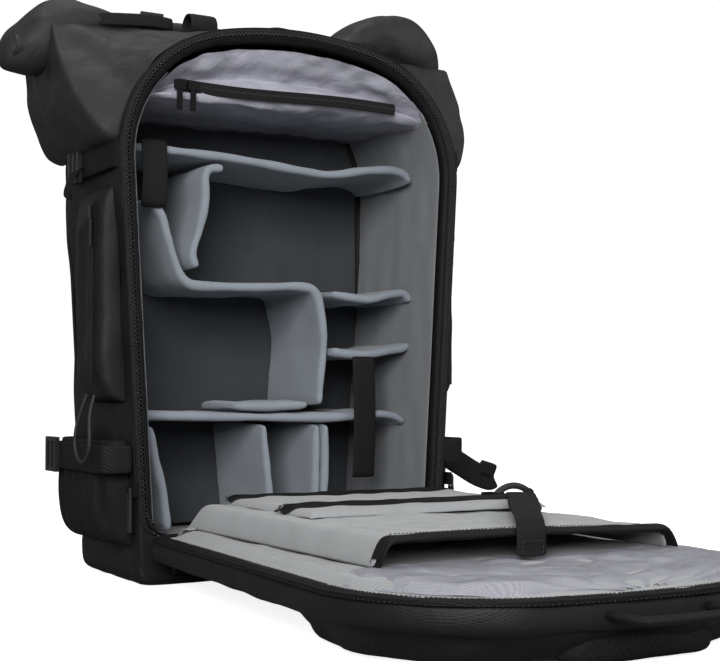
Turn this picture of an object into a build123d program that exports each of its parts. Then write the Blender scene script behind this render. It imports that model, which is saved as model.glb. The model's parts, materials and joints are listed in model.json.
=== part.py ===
from build123d import *
import math
import os

# Roll-top camera backpack, standing upright with its back panel folded down and open.
# Millimetres. The origin is the centre of the base on the floor. The opening faces -Y,
# and the open back panel lies along -Y on its harness.

# --- barrel outline of the opening, seen from the front ---
SIDE_HALF = 151.0          # half width of the opening at SIDE_Z
SIDE_Z = 100.0
SIDE_LEAN = math.radians(3.4)
SHOULDER_R = 112.0
CROWN_R = 360.0
TOP_Z = 496.0
OPENING_Z = 40.0           # lower edge of the opening

# --- shell ---
FRONT_Y = -88.0
BACK_Y = 88.0
SHELL_OUT = 6.0            # shell's outer face outside the opening's outline
SHELL_WALL = 3.0
SHELL_Z = 4.0
BACK_CORNER = 34.0
RIM_Y = FRONT_Y - 2.0      # face of the band that carries the zip
ZIP_WIDTH = 2.5
BOOT_WALL = 3.0
BOOT_TOP = 34.0
FLOOR_TOP = 36.0
WALL_PAD = 8.0             # inner face of the side pads inside the outline
WALL_PAD_TOP = 425.0
BACK_PAD_Y = 72.0
FIT = 0.3                  # gap that fabric parts keep from each other

# --- dividers ---
DIVIDER = 8.0
DIVIDER_FRONT = -43.0
STRAP_Y = -47.5
LINER_Y = -73.0            # front of the lining bag under the roll top
WEB = 2.0                  # webbing thickness

# --- roll top ---
COLLAR_LOW = 400.0
COLLAR_TOP = 506.0
COLLAR_WALL = 3.0
LOOP_AT = (-79.0, -38.0, 508.0)
LOOP_R = 11.0
LOOP_WIDTH = 28.0

# --- sides ---
SIDE_X = 187.0             # outer face of the side pockets
POCKET_Y = (-67.0, -2.0)
POCKET_Z = (161.0, 348.0)
BOTTLE_Y = (-67.0, 58.0)
BOTTLE_Z = (35.0, 122.0)
TAIL_AT = (233.0, -20.0, 88.0)   # middle of the lower right strap's loose end
TAIL_DROOP = 24.0

# --- back panel, open on the floor ---
HINGE_Y = -104.5
HINGE_Z = 32.5
PANEL_LOW = 22.0
PANEL_RIM = 46.0
PANEL_START = 29.0         # outline height that lands at the panel's hinge edge
LINING_TOP = 52.0
SLEEVE_TOP = 74.0
PAD_LOW = 12.0
WING_TOP = 11.0
WING_Y = (-175.0, -108.0)
ARCH_AT = (224.0, -112.5, 46.0)  # round loop on the right hip wing
ARCH_R = 30.0
ARCH_ROD = 3.6
YOKE_Y = (-565.0, -528.0)
STRAP_X = (20.0, 92.0)
STRAP_END = (128.0, -254.0)      # sewn end of the strap over the sleeve

os.makedirs("parts", exist_ok=True)


def save(node, shape):
    """Write one sub-part; several solids in one node stay a group."""
    solids = shape.solids()
    body = solids[0] if len(solids) == 1 else Compound(children=list(solids))
    export_step(body, f"parts/{node}.step")


def half_width(z, grow=0.0):
    """Half width of the outline's straight side at a height."""
    return SIDE_HALF + (z - SIDE_Z) * math.tan(SIDE_LEAN) + grow / math.cos(SIDE_LEAN)


def shoulder_centre():
    """Centre of the shoulder arc: tangent to the side and, inside, to the crown."""
    lean_x, lean_z = math.sin(SIDE_LEAN), math.cos(SIDE_LEAN)
    base_x = SIDE_HALF - SHOULDER_R * lean_z
    base_z = SIDE_Z + SHOULDER_R * lean_x
    crown_z = TOP_Z - CROWN_R
    reach = CROWN_R - SHOULDER_R
    b = base_x * lean_x + (base_z - crown_z) * lean_z
    c = base_x ** 2 + (base_z - crown_z) ** 2 - reach ** 2
    s = -b + math.sqrt(b * b - c)
    return base_x + s * lean_x, base_z + s * lean_z


def outline(grow=0.0, low=OPENING_Z, corner=18.0):
    """Closed barrel outline as a face in X and Z, grown outward by an amount."""
    cx, cz = shoulder_centre()
    crown_z = TOP_Z - CROWN_R
    radius = SHOULDER_R + grow
    crown = CROWN_R + grow
    side_angle = -SIDE_LEAN
    top_angle = math.atan2(cz - crown_z, cx)
    mid_angle = (side_angle + top_angle) / 2

    def on(x, z, r, angle):
        return (x + r * math.cos(angle), z + r * math.sin(angle))

    foot_z = low + corner
    foot_x = half_width(foot_z, grow) - corner / math.cos(SIDE_LEAN)
    foot_mid = (side_angle - math.pi / 2) / 2
    right = [
        ((foot_x, low), on(foot_x, foot_z, corner, foot_mid), on(foot_x, foot_z, corner, side_angle)),
        (on(foot_x, foot_z, corner, side_angle), None, on(cx, cz, radius, side_angle)),
        (on(cx, cz, radius, side_angle), on(cx, cz, radius, mid_angle), on(cx, cz, radius, top_angle)),
    ]
    edges = [Line((-foot_x, low), (foot_x, low))]
    for start, mid, end in right:
        for s in (1, -1):
            points = [(s * p[0], p[1]) for p in (start, mid, end) if p]
            edges.append(ThreePointArc(*points) if mid else Line(*points))
    left_top = on(cx, cz, radius, top_angle)
    edges.append(ThreePointArc((-left_top[0], left_top[1]), (0, TOP_Z + grow), left_top))
    return make_face(edges)


def upright(face, y_front, y_back):
    """Extrude an X-Z face from one depth to another."""
    return Pos(0, y_back, 0) * extrude(Plane.XZ * face, y_back - y_front)


def lying(face, z_low, z_high):
    """Lay an X-Z face on the open panel: its height runs to -Y from the hinge."""
    flat = Pos(0, HINGE_Y + HINGE_Z, 0) * mirror(face, Plane.XZ)
    return extrude(Pos(0, 0, z_low) * flat, z_high - z_low)


def block(x0, x1, y0, y1, z0, z1, radius=0.0):
    """Box between two corners, with an optional radius on every edge."""
    box = Pos((x0 + x1) / 2, (y0 + y1) / 2, (z0 + z1) / 2) * Box(x1 - x0, y1 - y0, z1 - z0)
    return fillet(box.edges(), radius) if radius else box


def both_sides(solid):
    """The solid and its mirror image in X."""
    return solid + mirror(solid, Plane.YZ)


def ribbon(points, bends, thickness, y_front, y_back):
    """Sheet of foam or webbing that follows a bent line in X and Z."""
    path = FilletPolyline(*points, radius=bends) if bends else Polyline(*points)
    return upright(trace(path, thickness), y_front, y_back)


def rounded_back(solid, radius):
    """Round the edges of an upright block's back face."""
    return fillet(solid.faces().sort_by(Axis.Y)[-1].edges(), radius)


SHELL_BLOCK = upright(outline(SHELL_OUT, SHELL_Z), FRONT_Y, BACK_Y)
SHELL_ROOM = rounded_back(
    upright(outline(SHELL_OUT - SHELL_WALL, SHELL_Z + SHELL_WALL, 15.0), FRONT_Y - 1, BACK_Y - SHELL_WALL),
    BACK_CORNER - SHELL_WALL)
PAD_ROOM = rounded_back(
    upright(outline(SHELL_OUT - SHELL_WALL - FIT, SHELL_Z + SHELL_WALL + FIT, 15.0), FRONT_Y,
            BACK_Y - SHELL_WALL - FIT),
    BACK_CORNER - SHELL_WALL)
INTERIOR = upright(outline(-WALL_PAD - FIT, FLOOR_TOP + FIT, 6.0), DIVIDER_FRONT, BACK_PAD_Y - FIT)


# --- shell, base and rim ---

def shell():
    mouth = block(-100, 100, -12, 50, TOP_Z - 30, TOP_Z + 20)
    return rounded_back(SHELL_BLOCK, BACK_CORNER) - SHELL_ROOM - mouth


def front_gusset():
    """Band round the opening that closes the shell's front edge."""
    band = outline(SHELL_OUT, SHELL_Z) - outline(0)
    return upright(band, RIM_Y, FRONT_Y)


def zip_ring():
    """Zip tape along the sides and the top of the outline, none along the hinge."""
    return outline(SHELL_OUT + ZIP_WIDTH, 0) - outline(SHELL_OUT, -1)


def shell_zip():
    ring = upright(zip_ring(), RIM_Y - 0.5, RIM_Y + 2.5)
    return ring - block(-200, 200, -120, 0, -10, 52)


def base_boot():
    outer = rounded_back(upright(outline(SHELL_OUT + BOOT_WALL, 0, 22.0), FRONT_Y, BACK_Y + BOOT_WALL), BACK_CORNER)
    hollow = rounded_back(upright(outline(SHELL_OUT, SHELL_Z), FRONT_Y - 1, BACK_Y), BACK_CORNER)
    return (outer - hollow) & block(-200, 200, -120, 120, -1, BOOT_TOP)


def hinge_strip():
    """Doubled fabric along the floor edge where the back panel is sewn on."""
    return block(-128, 128, RIM_Y - 9.5, RIM_Y - 0.2, 10, 20, 2.0)


# --- padding inside ---

def back_wall_pad():
    slab = upright(outline(0, 14.0), BACK_PAD_Y, BACK_Y)
    return slab & block(-200, 200, 0, 100, FLOOR_TOP + FIT, 470) & PAD_ROOM


def wall_pad(side):
    ring = outline(SHELL_OUT - SHELL_WALL - FIT, 8.0) - outline(-WALL_PAD, FLOOR_TOP, 6.0)
    x0, x1 = (0, 200) if side > 0 else (-200, 0)
    pad = upright(ring, FRONT_Y + 2, BACK_PAD_Y - FIT) & block(x0, x1, -100, 100, FLOOR_TOP + FIT, WALL_PAD_TOP)
    return pad & PAD_ROOM


def floor_pad():
    slab = upright(outline(SHELL_OUT - SHELL_WALL - FIT, 8.0), FRONT_Y + 2, BACK_Y)
    return slab & block(-200, 200, -100, 100, 0, FLOOR_TOP) & PAD_ROOM


def top_liner():
    """Thin lining bag that hangs from the roll top into the main compartment."""
    outer = upright(outline(-WALL_PAD - 1), LINER_Y, 68) & block(-200, 200, -100, 100, 434, 484)
    inner = upright(outline(-WALL_PAD - 3), LINER_Y + 2, 66) & block(-200, 200, -100, 100, 436, 500)
    return outer - inner


def liner_zip():
    return block(-112, 108, LINER_Y - 2.0, LINER_Y - 0.2, 440, 446)


# --- dividers ---

def divider(points, bends):
    return ribbon(points, bends, DIVIDER, DIVIDER_FRONT, BACK_PAD_Y - FIT) & INTERIOR


def top_shelf():
    return divider([(-165, 390), (-40, 386), (60, 380), (128, 391), (152, 374)], [200, 150, 12])


def mid_shelf():
    return divider([(-160, 147), (-40, 144), (60, 143), (125, 146), (150, 132)], [300, 300, 14])


def stepped_divider():
    return divider([(-132, 346), (-118, 330), (-97, 265), (43, 268), (52, 225), (47, 152)], [8, 10, 10, 60])


def folded_pad():
    return block(-46, 36, DIVIDER_FRONT, BACK_PAD_Y - 30, 149.5, 159.5, 3.0)


def short_divider():
    return divider([(-54, 376), (-74, 374), (-72, 345), (-86, 295), (-80, 276)], [8, 60, 12])


def right_shelf(low_end, high_end, sag):
    return divider([(59, low_end), (100, low_end - sag), (140, low_end + 3), (170, high_end)], [60, 30])


def lower_divider_left():
    return divider([(-128, 138), (-108, 30)], None)


def lower_divider_mid():
    return divider([(-14, 139), (-3, 30)], None)


def lower_divider_right():
    return divider([(44, 138), (40, 30)], None) + divider([(54, 138), (50, 30)], None)


def inner_strap_left():
    return block(-140, -114, STRAP_Y, STRAP_Y + WEB, 337, 396)


def inner_strap_right():
    return block(80, 105, STRAP_Y, STRAP_Y + WEB, 87, 200)


# --- roll top ---

def roll_collar():
    """Fabric tube that flares from the shell's shoulders to the flattened roll."""
    def tube(shrink):
        low = Pos(0, 2, COLLAR_LOW) * Rectangle(342 - 2 * shrink, 160 - 2 * shrink)
        mid = Pos(-2, 8, 452) * Rectangle(406 - 2 * shrink, 130 - 2 * shrink)
        top = Pos(-2, 20, COLLAR_TOP) * Rectangle(424 - 2 * shrink, 76 - 2 * shrink)
        return loft([low, mid, top], ruled=True)
    return tube(0) - tube(COLLAR_WALL) - SHELL_BLOCK


def roll_bundle():
    """Rolled fabric across the top, with its two flared ends."""
    sections = [
        (-247, 506.5, 516, 16), (-214, 506.5, 527, 30), (-160, 506.5, 524, 34), (-90, 506.5, 519, 34),
        (80, 506.5, 523, 34), (130, 506.5, 552, 36), (176, 506.5, 561, 36), (206, 506.5, 538, 28),
        (214, 506.5, 520, 16),
    ]
    faces = []
    for x, low, high, deep in sections:
        ellipse = Ellipse(deep, (high - low) / 2)
        faces.append(Plane((x, 20, (low + high) / 2), x_dir=(0, 1, 0), z_dir=(1, 0, 0)) * ellipse)
    return loft(faces, ruled=True)


def roll_end_flaps():
    """Lower layers of the roll that droop from its two ends."""
    left = [(-214.5, 500), (-250, 483), (-249, 464), (-216, 459)]
    right = [(211.5, 505), (219, 492), (216, 470), (211.5, 462)]
    return sum((upright(make_face(Polyline(*side, close=True)), 4, 36) for side in (left, right)), Part())


def top_strap():
    """Webbing along the front of the roll, from the loop to the left end."""
    return block(-150, -99, -17, -15, 507, 519)


def roll_buckles():
    left = block(-130, -108, -20.5, -17.2, 506.4, 520.5) - block(-125, -113, -30, 0, 510, 517)
    right = block(66, 82, -20.4, -16.6, 507, 520) - block(70, 78, -30, 0, 510.5, 516.5)
    tab = block(82.2, 107, -19.5, -17.5, 508, 519)
    return left + right + tab


def top_loop():
    """Webbing grab loop that stands on the collar's front edge."""
    tube = Rot(0, 90, 0) * (Cylinder(LOOP_R, LOOP_WIDTH) - Cylinder(LOOP_R - 2.4, LOOP_WIDTH + 1))
    return Pos(*LOOP_AT) * tube


# --- outside of the sides ---

def side_pockets():
    solid = block(160, SIDE_X, *POCKET_Y, *POCKET_Z, 5.0)
    room = block(172, SIDE_X - 3, POCKET_Y[0] + 4, POCKET_Y[1] - 4, POCKET_Z[0] + 5, POCKET_Z[1] - 4)
    slit = block(SIDE_X - 5, SIDE_X + 1, -60, -53, POCKET_Z[0] + 14, POCKET_Z[1] - 12)
    return both_sides(solid - room - slit - SHELL_BLOCK)


def side_zips():
    tape = block(SIDE_X - 3, SIDE_X + 0.4, -59.8, -53.2, POCKET_Z[0] + 14.2, POCKET_Z[1] - 12.2)
    return both_sides(tape)


def side_slider():
    body = block(SIDE_X + 0.6, SIDE_X + 4.2, -60, -53, 320, 331)
    pull = block(SIDE_X + 1.2, SIDE_X + 3.2, -59, -54, 296, 320.5)
    return body + pull


def bottle_pockets():
    solid = block(130, SIDE_X - 1, *BOTTLE_Y, *BOTTLE_Z, 8.0)
    solid &= block(130, SIDE_X, -100, 100, BOTTLE_Z[0], BOTTLE_Z[1] - 8)
    room = block(130, SIDE_X - 4, BOTTLE_Y[0] + 3, BOTTLE_Y[1] - 3, BOTTLE_Z[0] + 3, BOTTLE_Z[1])
    boot = upright(outline(SHELL_OUT + BOOT_WALL + FIT, -5, 22.0), FRONT_Y, BACK_Y + 4)
    boot &= block(-200, 200, -120, 120, -5, BOOT_TOP + FIT)
    return both_sides(solid - room - SHELL_BLOCK - boot)


def side_straps():
    """Compression webbing across both sides, with its loose ends."""
    upper = block(177.5, 179.5, -80, 30, 363, 388)
    anchor = block(168, 177.4, -84, -80.2, 363, 388) + block(168, 177.4, 25, 30, 363, 388)
    lower = block(SIDE_X + 0.3, SIDE_X + 2.3, -80, 62, 98, 123)
    lower_anchor = block(156, SIDE_X + 2.3, -84, -80.2, 98, 123) + block(156, SIDE_X + 2.3, 62.2, 66, 98, 123)
    both = both_sides(upper + (anchor - SHELL_BLOCK) + lower + (lower_anchor - SHELL_BLOCK))
    tail = Pos(*TAIL_AT) * Rot(0, TAIL_DROOP, 0) * Box(86, WEB, 26)
    return both + tail


def side_ladder_locks():
    """Plastic adjusters on the four compression straps."""
    locks = []
    for x, y, z in ((179.8, 12, 375.5), (SIDE_X + 2.6, 40, 110.5)):
        frame = Pos(x + 2, y, z) * Box(4, 30, 32)
        frame -= Pos(x + 2, y - 6, z) * Box(6, 6, 24)
        frame -= Pos(x + 2, y + 6, z) * Box(6, 6, 24)
        locks.append(frame)
    return both_sides(locks[0] + locks[1])


# Loop of elastic cord that hangs from the left side pocket: the route's points.
CORD_D = 3.0
CORD_ROUTE = [
    (-188.9, -48, 166), (-193.5, -46, 152), (-196.0, -40, 137), (-196.5, -38, 122), (-196.5, -46, 110),
    (-196.5, -59, 106), (-196.5, -71, 111), (-196.5, -78, 123), (-196.0, -75, 138), (-193.5, -69, 152),
    (-188.9, -67, 165),
]


def corner_radii(points):
    """Largest tangent arc that each corner's two runs allow."""
    radii = []
    for a, b, c in zip(points, points[1:], points[2:]):
        first = Vector(*b) - Vector(*a)
        second = Vector(*c) - Vector(*b)
        turn = math.radians(first.get_angle(second))
        radii.append(0.45 * min(first.length, second.length) / math.tan(turn / 2))
    return radii


def pocket_cord():
    radii = corner_radii(CORD_ROUTE)
    path = FilletPolyline(*CORD_ROUTE, radius=radii)
    print("cord length", round(path.length, 1), "smallest radius", round(min(radii), 1))
    start = Plane(origin=path @ 0, z_dir=path % 0)
    tube = sweep(start * Circle(CORD_D / 2), path=path)
    print("cord volume over section times length", round(tube.volume / (math.pi * CORD_D ** 2 / 4 * path.length), 3))
    return tube


# --- sliders of the main zip, on the sides of the rim ---

def main_slider(side):
    z = 84.0
    x = half_width(z, SHELL_OUT + ZIP_WIDTH + 0.3)
    solid = Pos(x + 2.4, RIM_Y - 0.5, z) * Rot(0, math.degrees(SIDE_LEAN), 0) * Box(4.8, 8, 12)
    ear = Pos(x + 6.4, RIM_Y - 0.5, z + 1) * Box(4, 2.4, 6)
    ear -= Pos(x + 6.6, RIM_Y - 0.5, z + 1) * Rot(90, 0, 0) * Cylinder(1.2, 6)
    solid += ear
    return solid if side > 0 else mirror(solid, Plane.YZ)


def main_pull(side):
    z = 84.0
    x = half_width(z, SHELL_OUT + ZIP_WIDTH + 0.3) + 6.6
    pin = Pos(x, RIM_Y - 0.5, z + 1) * Rot(90, 0, 0) * Cylinder(1.15, 7.0)
    arms = Pos(x, RIM_Y - 3.1, z - 3) * Box(2.2, 1.4, 10) + Pos(x, RIM_Y + 2.1, z - 3) * Box(2.2, 1.4, 10)
    tab = Pos(x, RIM_Y - 0.5, z - 22) * Box(2.6, 7.0, 28)
    solid = pin + arms + tab
    return solid if side > 0 else mirror(solid, Plane.YZ)


def liner_sliders():
    slider = block(-120, -110, LINER_Y - 5.4, LINER_Y - 2.3, 439, 447)
    slider += block(-117.5, -112.5, LINER_Y - 4.8, LINER_Y - 2.9, 420, 439.5)
    return slider + Pos(13, 0, 0) * slider


# --- back panel ---

def panel_shell():
    outer = lying(outline(SHELL_OUT, PANEL_START), PANEL_LOW, PANEL_RIM - 3)
    inner = lying(outline(SHELL_OUT - 3, PANEL_START + 3), PANEL_LOW + 3, PANEL_RIM)
    return outer - inner


def panel_foam():
    return lying(outline(SHELL_OUT - 3.3, PANEL_START + 3.3), 31.2, PANEL_RIM - 3)


def frame_sheet():
    return lying(outline(-8, OPENING_Z + 10), 29.2, 31)


def frame_stays():
    return both_sides(block(50, 70, -550, -130, 25.2, 28.9))


def panel_lining():
    flange = lying(outline(SHELL_OUT - 0.5, PANEL_START + 0.5), PANEL_RIM - 2.8, PANEL_RIM)
    raised = lying(outline(-WALL_PAD - 2, 54, 24.0), PANEL_RIM - 0.5, LINING_TOP)
    return flange + raised


def panel_zip():
    ring = outline(SHELL_OUT + ZIP_WIDTH, 0) - outline(SHELL_OUT, -1)
    return lying(ring, PANEL_RIM - 3.3, PANEL_RIM - 0.6) - block(-200, 200, -124, 0, 0, 100)


def laptop_sleeve():
    outer = block(-127, 127, -448, -128, LINING_TOP + 0.1, SLEEVE_TOP, 0)
    outer = fillet(outer.edges().filter_by(Axis.Z), 20)
    outer = fillet(outer.faces().sort_by(Axis.Z)[-1].edges(), 5)
    room = block(-122, 122, -450, -136, LINING_TOP + 3, SLEEVE_TOP - 4)
    return outer - room


def sleeve_lining():
    """Thin nylon flap that lines the panel beyond the sleeve's mouth."""
    flap = lying(outline(-16), LINING_TOP + 0.1, LINING_TOP + 2.1)
    return flap & block(-200, 200, -600, -449, 0, 100)


def panel_pocket():
    outer = block(-100, 122, -300, -146, SLEEVE_TOP + 0.1, SLEEVE_TOP + 5.5, 2.5)
    room = block(-94, 116, -290, -152, SLEEVE_TOP + 1.6, SLEEVE_TOP + 4.0)
    slit = block(-92, 114, -256, -250, SLEEVE_TOP + 3, SLEEVE_TOP + 9)
    return outer - room - slit


def panel_slider():
    body = block(90, 100, -256, -250, SLEEVE_TOP + 6.1, SLEEVE_TOP + 9.3)
    pull = block(99.5, 111, -254.6, -251.4, SLEEVE_TOP + 6.8, SLEEVE_TOP + 8.6)
    return body + pull


def sleeve_strap():
    """Webbing that crosses the sleeve's mouth and holds what is in it."""
    x, y = STRAP_END
    flat = make_face(Polyline((x - 9, y + 6.3), (x + 9, y - 6.3), (6, -452), (-24, -452), close=True))
    top = extrude(Pos(0, 0, SLEEVE_TOP + 6.2) * flat, WEB)
    drop = block(-22, 4, -452.2, -449.6, LINING_TOP + 2.6, SLEEVE_TOP + 8.2)
    return top + drop


def back_pads():
    columns = both_sides(block(14, 108, -520, -216, PAD_LOW, PANEL_LOW, 3.0))
    lumbar = block(-96, 96, -204, -112, PAD_LOW, PANEL_LOW, 3.0)
    return columns + lumbar


def yoke():
    return block(-66, 66, *YOKE_Y, 0, PANEL_LOW, 4.0)


def haul_handle():
    """Grab handle on the free end of the panel."""
    outer = block(-46, 46, -604, -577, 31, 37, 2.0)
    return outer - block(-32, 32, -592, -570, 20, 50)


def shoulder_strap(side):
    x0, x1 = STRAP_X
    pad = block(x0, x1, -522, -250, 0.2, WING_TOP, 3.0)
    neck = block(x0 + 6, x1 - 34, -526.5, -515, 1, WING_TOP - 2)
    webbing = block(x0 + 28, x0 + 53, -250.5, -210, 1, 3)
    solid = pad + neck + webbing
    return solid if side > 0 else mirror(solid, Plane.YZ)


def hip_wing(side):
    x0, x1 = (98, 262) if side > 0 else (-98, 62)
    return block(x0, x1, *WING_Y, 0.2, WING_TOP, 3.0)


def belt_loop():
    """Round carrying loop on the right hip wing."""
    x, y, z = ARCH_AT
    arch = Pos(x, y, z) * Rot(90, 0, 0) * Torus(ARCH_R, ARCH_ROD)
    arch &= block(150, 300, -130, -90, z, 120)
    low = WING_TOP + 0.1
    for side in (-1, 1):
        arch += Pos(x + side * ARCH_R, y, (low + z) / 2) * Cylinder(ARCH_ROD, z - low)
    return arch


NODES = {
    "shell": shell, "front_gusset": front_gusset, "shell_zip": shell_zip, "base_boot": base_boot,
    "hinge_strip": hinge_strip, "back_wall_pad": back_wall_pad, "left_wall_pad": lambda: wall_pad(-1),
    "right_wall_pad": lambda: wall_pad(1), "floor_pad": floor_pad, "top_liner": top_liner,
    "liner_zip": liner_zip, "top_shelf": top_shelf, "mid_shelf": mid_shelf,
    "stepped_divider": stepped_divider, "folded_pad": folded_pad, "short_divider": short_divider,
    "right_shelf_upper": lambda: right_shelf(264, 252, 5), "right_shelf_lower": lambda: right_shelf(207, 222, 3),
    "lower_divider_left": lower_divider_left, "lower_divider_mid": lower_divider_mid,
    "lower_divider_right": lower_divider_right, "inner_strap_left": inner_strap_left,
    "inner_strap_right": inner_strap_right, "roll_collar": roll_collar, "roll_bundle": roll_bundle,
    "roll_end_flaps": roll_end_flaps, "top_strap": top_strap, "roll_buckles": roll_buckles,
    "top_loop": top_loop, "side_pockets": side_pockets, "side_zips": side_zips,
    "side_slider_right": side_slider, "side_slider_left": lambda: mirror(side_slider(), Plane.YZ),
    "bottle_pockets": bottle_pockets, "side_straps": side_straps, "side_ladder_locks": side_ladder_locks,
    "pocket_cord": pocket_cord, "main_slider_left": lambda: main_slider(-1),
    "main_slider_right": lambda: main_slider(1), "main_pull_left": lambda: main_pull(-1),
    "main_pull_right": lambda: main_pull(1), "liner_sliders": liner_sliders, "panel_shell": panel_shell,
    "panel_foam": panel_foam, "frame_sheet": frame_sheet, "frame_stays": frame_stays,
    "panel_lining": panel_lining, "panel_zip": panel_zip, "laptop_sleeve": laptop_sleeve,
    "sleeve_lining": sleeve_lining, "panel_pocket": panel_pocket, "panel_slider": panel_slider,
    "sleeve_strap": sleeve_strap, "back_pads": back_pads, "yoke": yoke, "haul_handle": haul_handle,
    "shoulder_strap_left": lambda: shoulder_strap(-1), "shoulder_strap_right": lambda: shoulder_strap(1),
    "hip_wing_left": lambda: hip_wing(-1), "hip_wing_right": lambda: hip_wing(1) + belt_loop(),
}

for name, make in NODES.items():
    save(name, make())
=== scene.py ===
import json
import math

import bpy
import numpy as np
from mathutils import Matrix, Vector, noise


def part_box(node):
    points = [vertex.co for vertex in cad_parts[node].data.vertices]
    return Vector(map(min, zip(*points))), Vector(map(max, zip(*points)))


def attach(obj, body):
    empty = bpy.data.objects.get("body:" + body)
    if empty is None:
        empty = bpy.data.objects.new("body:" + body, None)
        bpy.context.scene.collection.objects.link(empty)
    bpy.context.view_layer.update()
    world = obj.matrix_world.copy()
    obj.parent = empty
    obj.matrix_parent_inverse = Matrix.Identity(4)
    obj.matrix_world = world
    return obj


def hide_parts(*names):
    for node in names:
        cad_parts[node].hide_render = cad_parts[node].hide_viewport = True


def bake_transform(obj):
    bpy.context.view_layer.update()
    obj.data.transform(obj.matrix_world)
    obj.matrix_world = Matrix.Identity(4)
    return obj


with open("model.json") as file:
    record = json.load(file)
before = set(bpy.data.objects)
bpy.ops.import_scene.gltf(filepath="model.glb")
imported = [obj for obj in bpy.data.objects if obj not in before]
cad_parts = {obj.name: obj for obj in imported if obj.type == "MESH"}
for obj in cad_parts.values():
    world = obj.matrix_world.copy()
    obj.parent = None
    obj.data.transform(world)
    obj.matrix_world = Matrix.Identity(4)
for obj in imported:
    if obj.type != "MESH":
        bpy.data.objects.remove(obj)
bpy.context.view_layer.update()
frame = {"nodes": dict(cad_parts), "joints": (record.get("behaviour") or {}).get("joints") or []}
NODES = frame["nodes"]
MM = 0.001

# --- sizes of the bag, in millimetres like its design, read from the frame where it says them ---
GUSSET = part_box("front_gusset")
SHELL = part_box("shell")
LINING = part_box("panel_lining")
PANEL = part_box("panel_shell")
RIM_Y = GUSSET[0][1] / MM
BACK_Y = SHELL[1][1] / MM
FOOT_Z = GUSSET[0][2] / MM
SHELL_OUT = 6.0
TOP_Z = GUSSET[1][2] / MM - SHELL_OUT
SIDE_HALF, SIDE_Z, SIDE_LEAN = 151.0, 100.0, math.radians(3.4)
SHOULDER_R, CROWN_R = 112.0, 360.0
HINGE = Vector(frame["joints"][0]["pos_m"]) / MM
PANEL_SHIFT = HINGE.y + HINGE.z
PANEL_START = PANEL_SHIFT - PANEL[1][1] / MM
WALL_PAD = 8.0
FLOOR_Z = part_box("floor_pad")[1][2] / MM
DIVIDER_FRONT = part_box("mid_shelf")[0][1] / MM
DIVIDER_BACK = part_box("mid_shelf")[1][1] / MM


# --- the barrel outline ---

def half_width(z, grow=0.0):
    return SIDE_HALF + (z - SIDE_Z) * math.tan(SIDE_LEAN) + grow / math.cos(SIDE_LEAN)


def shoulder_centre():
    lean_x, lean_z = math.sin(SIDE_LEAN), math.cos(SIDE_LEAN)
    base_x, base_z = SIDE_HALF - SHOULDER_R * lean_z, SIDE_Z + SHOULDER_R * lean_x
    crown_z = TOP_Z - CROWN_R
    b = base_x * lean_x + (base_z - crown_z) * lean_z
    c = base_x ** 2 + (base_z - crown_z) ** 2 - (CROWN_R - SHOULDER_R) ** 2
    s = -b + math.sqrt(b * b - c)
    return base_x + s * lean_x, base_z + s * lean_z


def arc(cx, cz, r, start, end, steps):
    return [(cx + r * math.cos(a), cz + r * math.sin(a)) for a in np.linspace(start, end, steps)]


def resample(points, count, closed=False):
    """The same line with evenly spaced points."""
    p = np.array(list(points) + ([points[0]] if closed else []), float)
    run = np.concatenate([[0], np.cumsum(np.linalg.norm(np.diff(p, axis=0), axis=1))])
    at = np.linspace(0, run[-1], count + 1 if closed else count)
    out = np.stack([np.interp(at, run, p[:, k]) for k in range(p.shape[1])], axis=1)
    return out[:-1] if closed else out


def outline(grow=0.0, low=40.0, count=160, corner=18.0, closed=True):
    """Barrel outline from the middle of its foot, up the right side, over and back; in X and Z."""
    cx, cz = shoulder_centre()
    side, crown_z = -SIDE_LEAN, TOP_Z - CROWN_R
    top = math.atan2(cz - crown_z, cx)
    foot_z = low + corner
    foot_x = half_width(foot_z, grow) - corner / math.cos(SIDE_LEAN)
    right = [(0, low)] if closed else []
    right += arc(foot_x, foot_z, corner, -math.pi / 2, side, 8)
    right += arc(cx, cz, SHOULDER_R + grow, side, top, 24)
    right += arc(0, crown_z, CROWN_R + grow, top, math.pi / 2, 14)[1:]
    line = right + [(-x, z) for x, z in reversed(right[:-1])]
    return resample(line[:-1] if closed else line, count, closed)


def upright(line, y):
    return [(x, y, z) for x, z in line]


def lying(line, z):
    return [(x, PANEL_SHIFT - h, z) for x, h in line]


# --- mesh tools: all in millimetres, scaled to metres when the mesh is made ---

def mesh_object(name, verts, faces, material, body="bag", smooth=True):
    mesh = bpy.data.meshes.new(name)
    mesh.from_pydata([tuple(float(c) * MM for c in v) for v in verts], [], faces)
    mesh.validate()
    mesh.update()
    obj = bpy.data.objects.new(name, mesh)
    bpy.context.scene.collection.objects.link(obj)
    mesh.materials.append(material)
    if smooth:
        mesh.shade_smooth()
    if body:
        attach(obj, body)
    return obj


def grid(rows, wrap_row=False, wrap_col=False, cap=False):
    """Quads over rows of points; wrap_col closes each row, wrap_row joins the last row to the first."""
    n, m = len(rows), len(rows[0])
    verts = [p for row in rows for p in row]
    faces = []
    for i in range(n if wrap_row else n - 1):
        for j in range(m if wrap_col else m - 1):
            a, b = i * m + j, i * m + (j + 1) % m
            c, d = ((i + 1) % n) * m + (j + 1) % m, ((i + 1) % n) * m + j
            faces.append((a, b, c, d))
    if cap:
        faces += [tuple(reversed(range(m))), tuple((n - 1) * m + j for j in range(m))]
    return verts, faces


def join(parts):
    """One list of verts and faces from several."""
    verts, faces = [], []
    for v, f in parts:
        base = len(verts)
        verts += list(v)
        faces += [tuple(i + base for i in face) for face in f]
    return verts, faces


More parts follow.
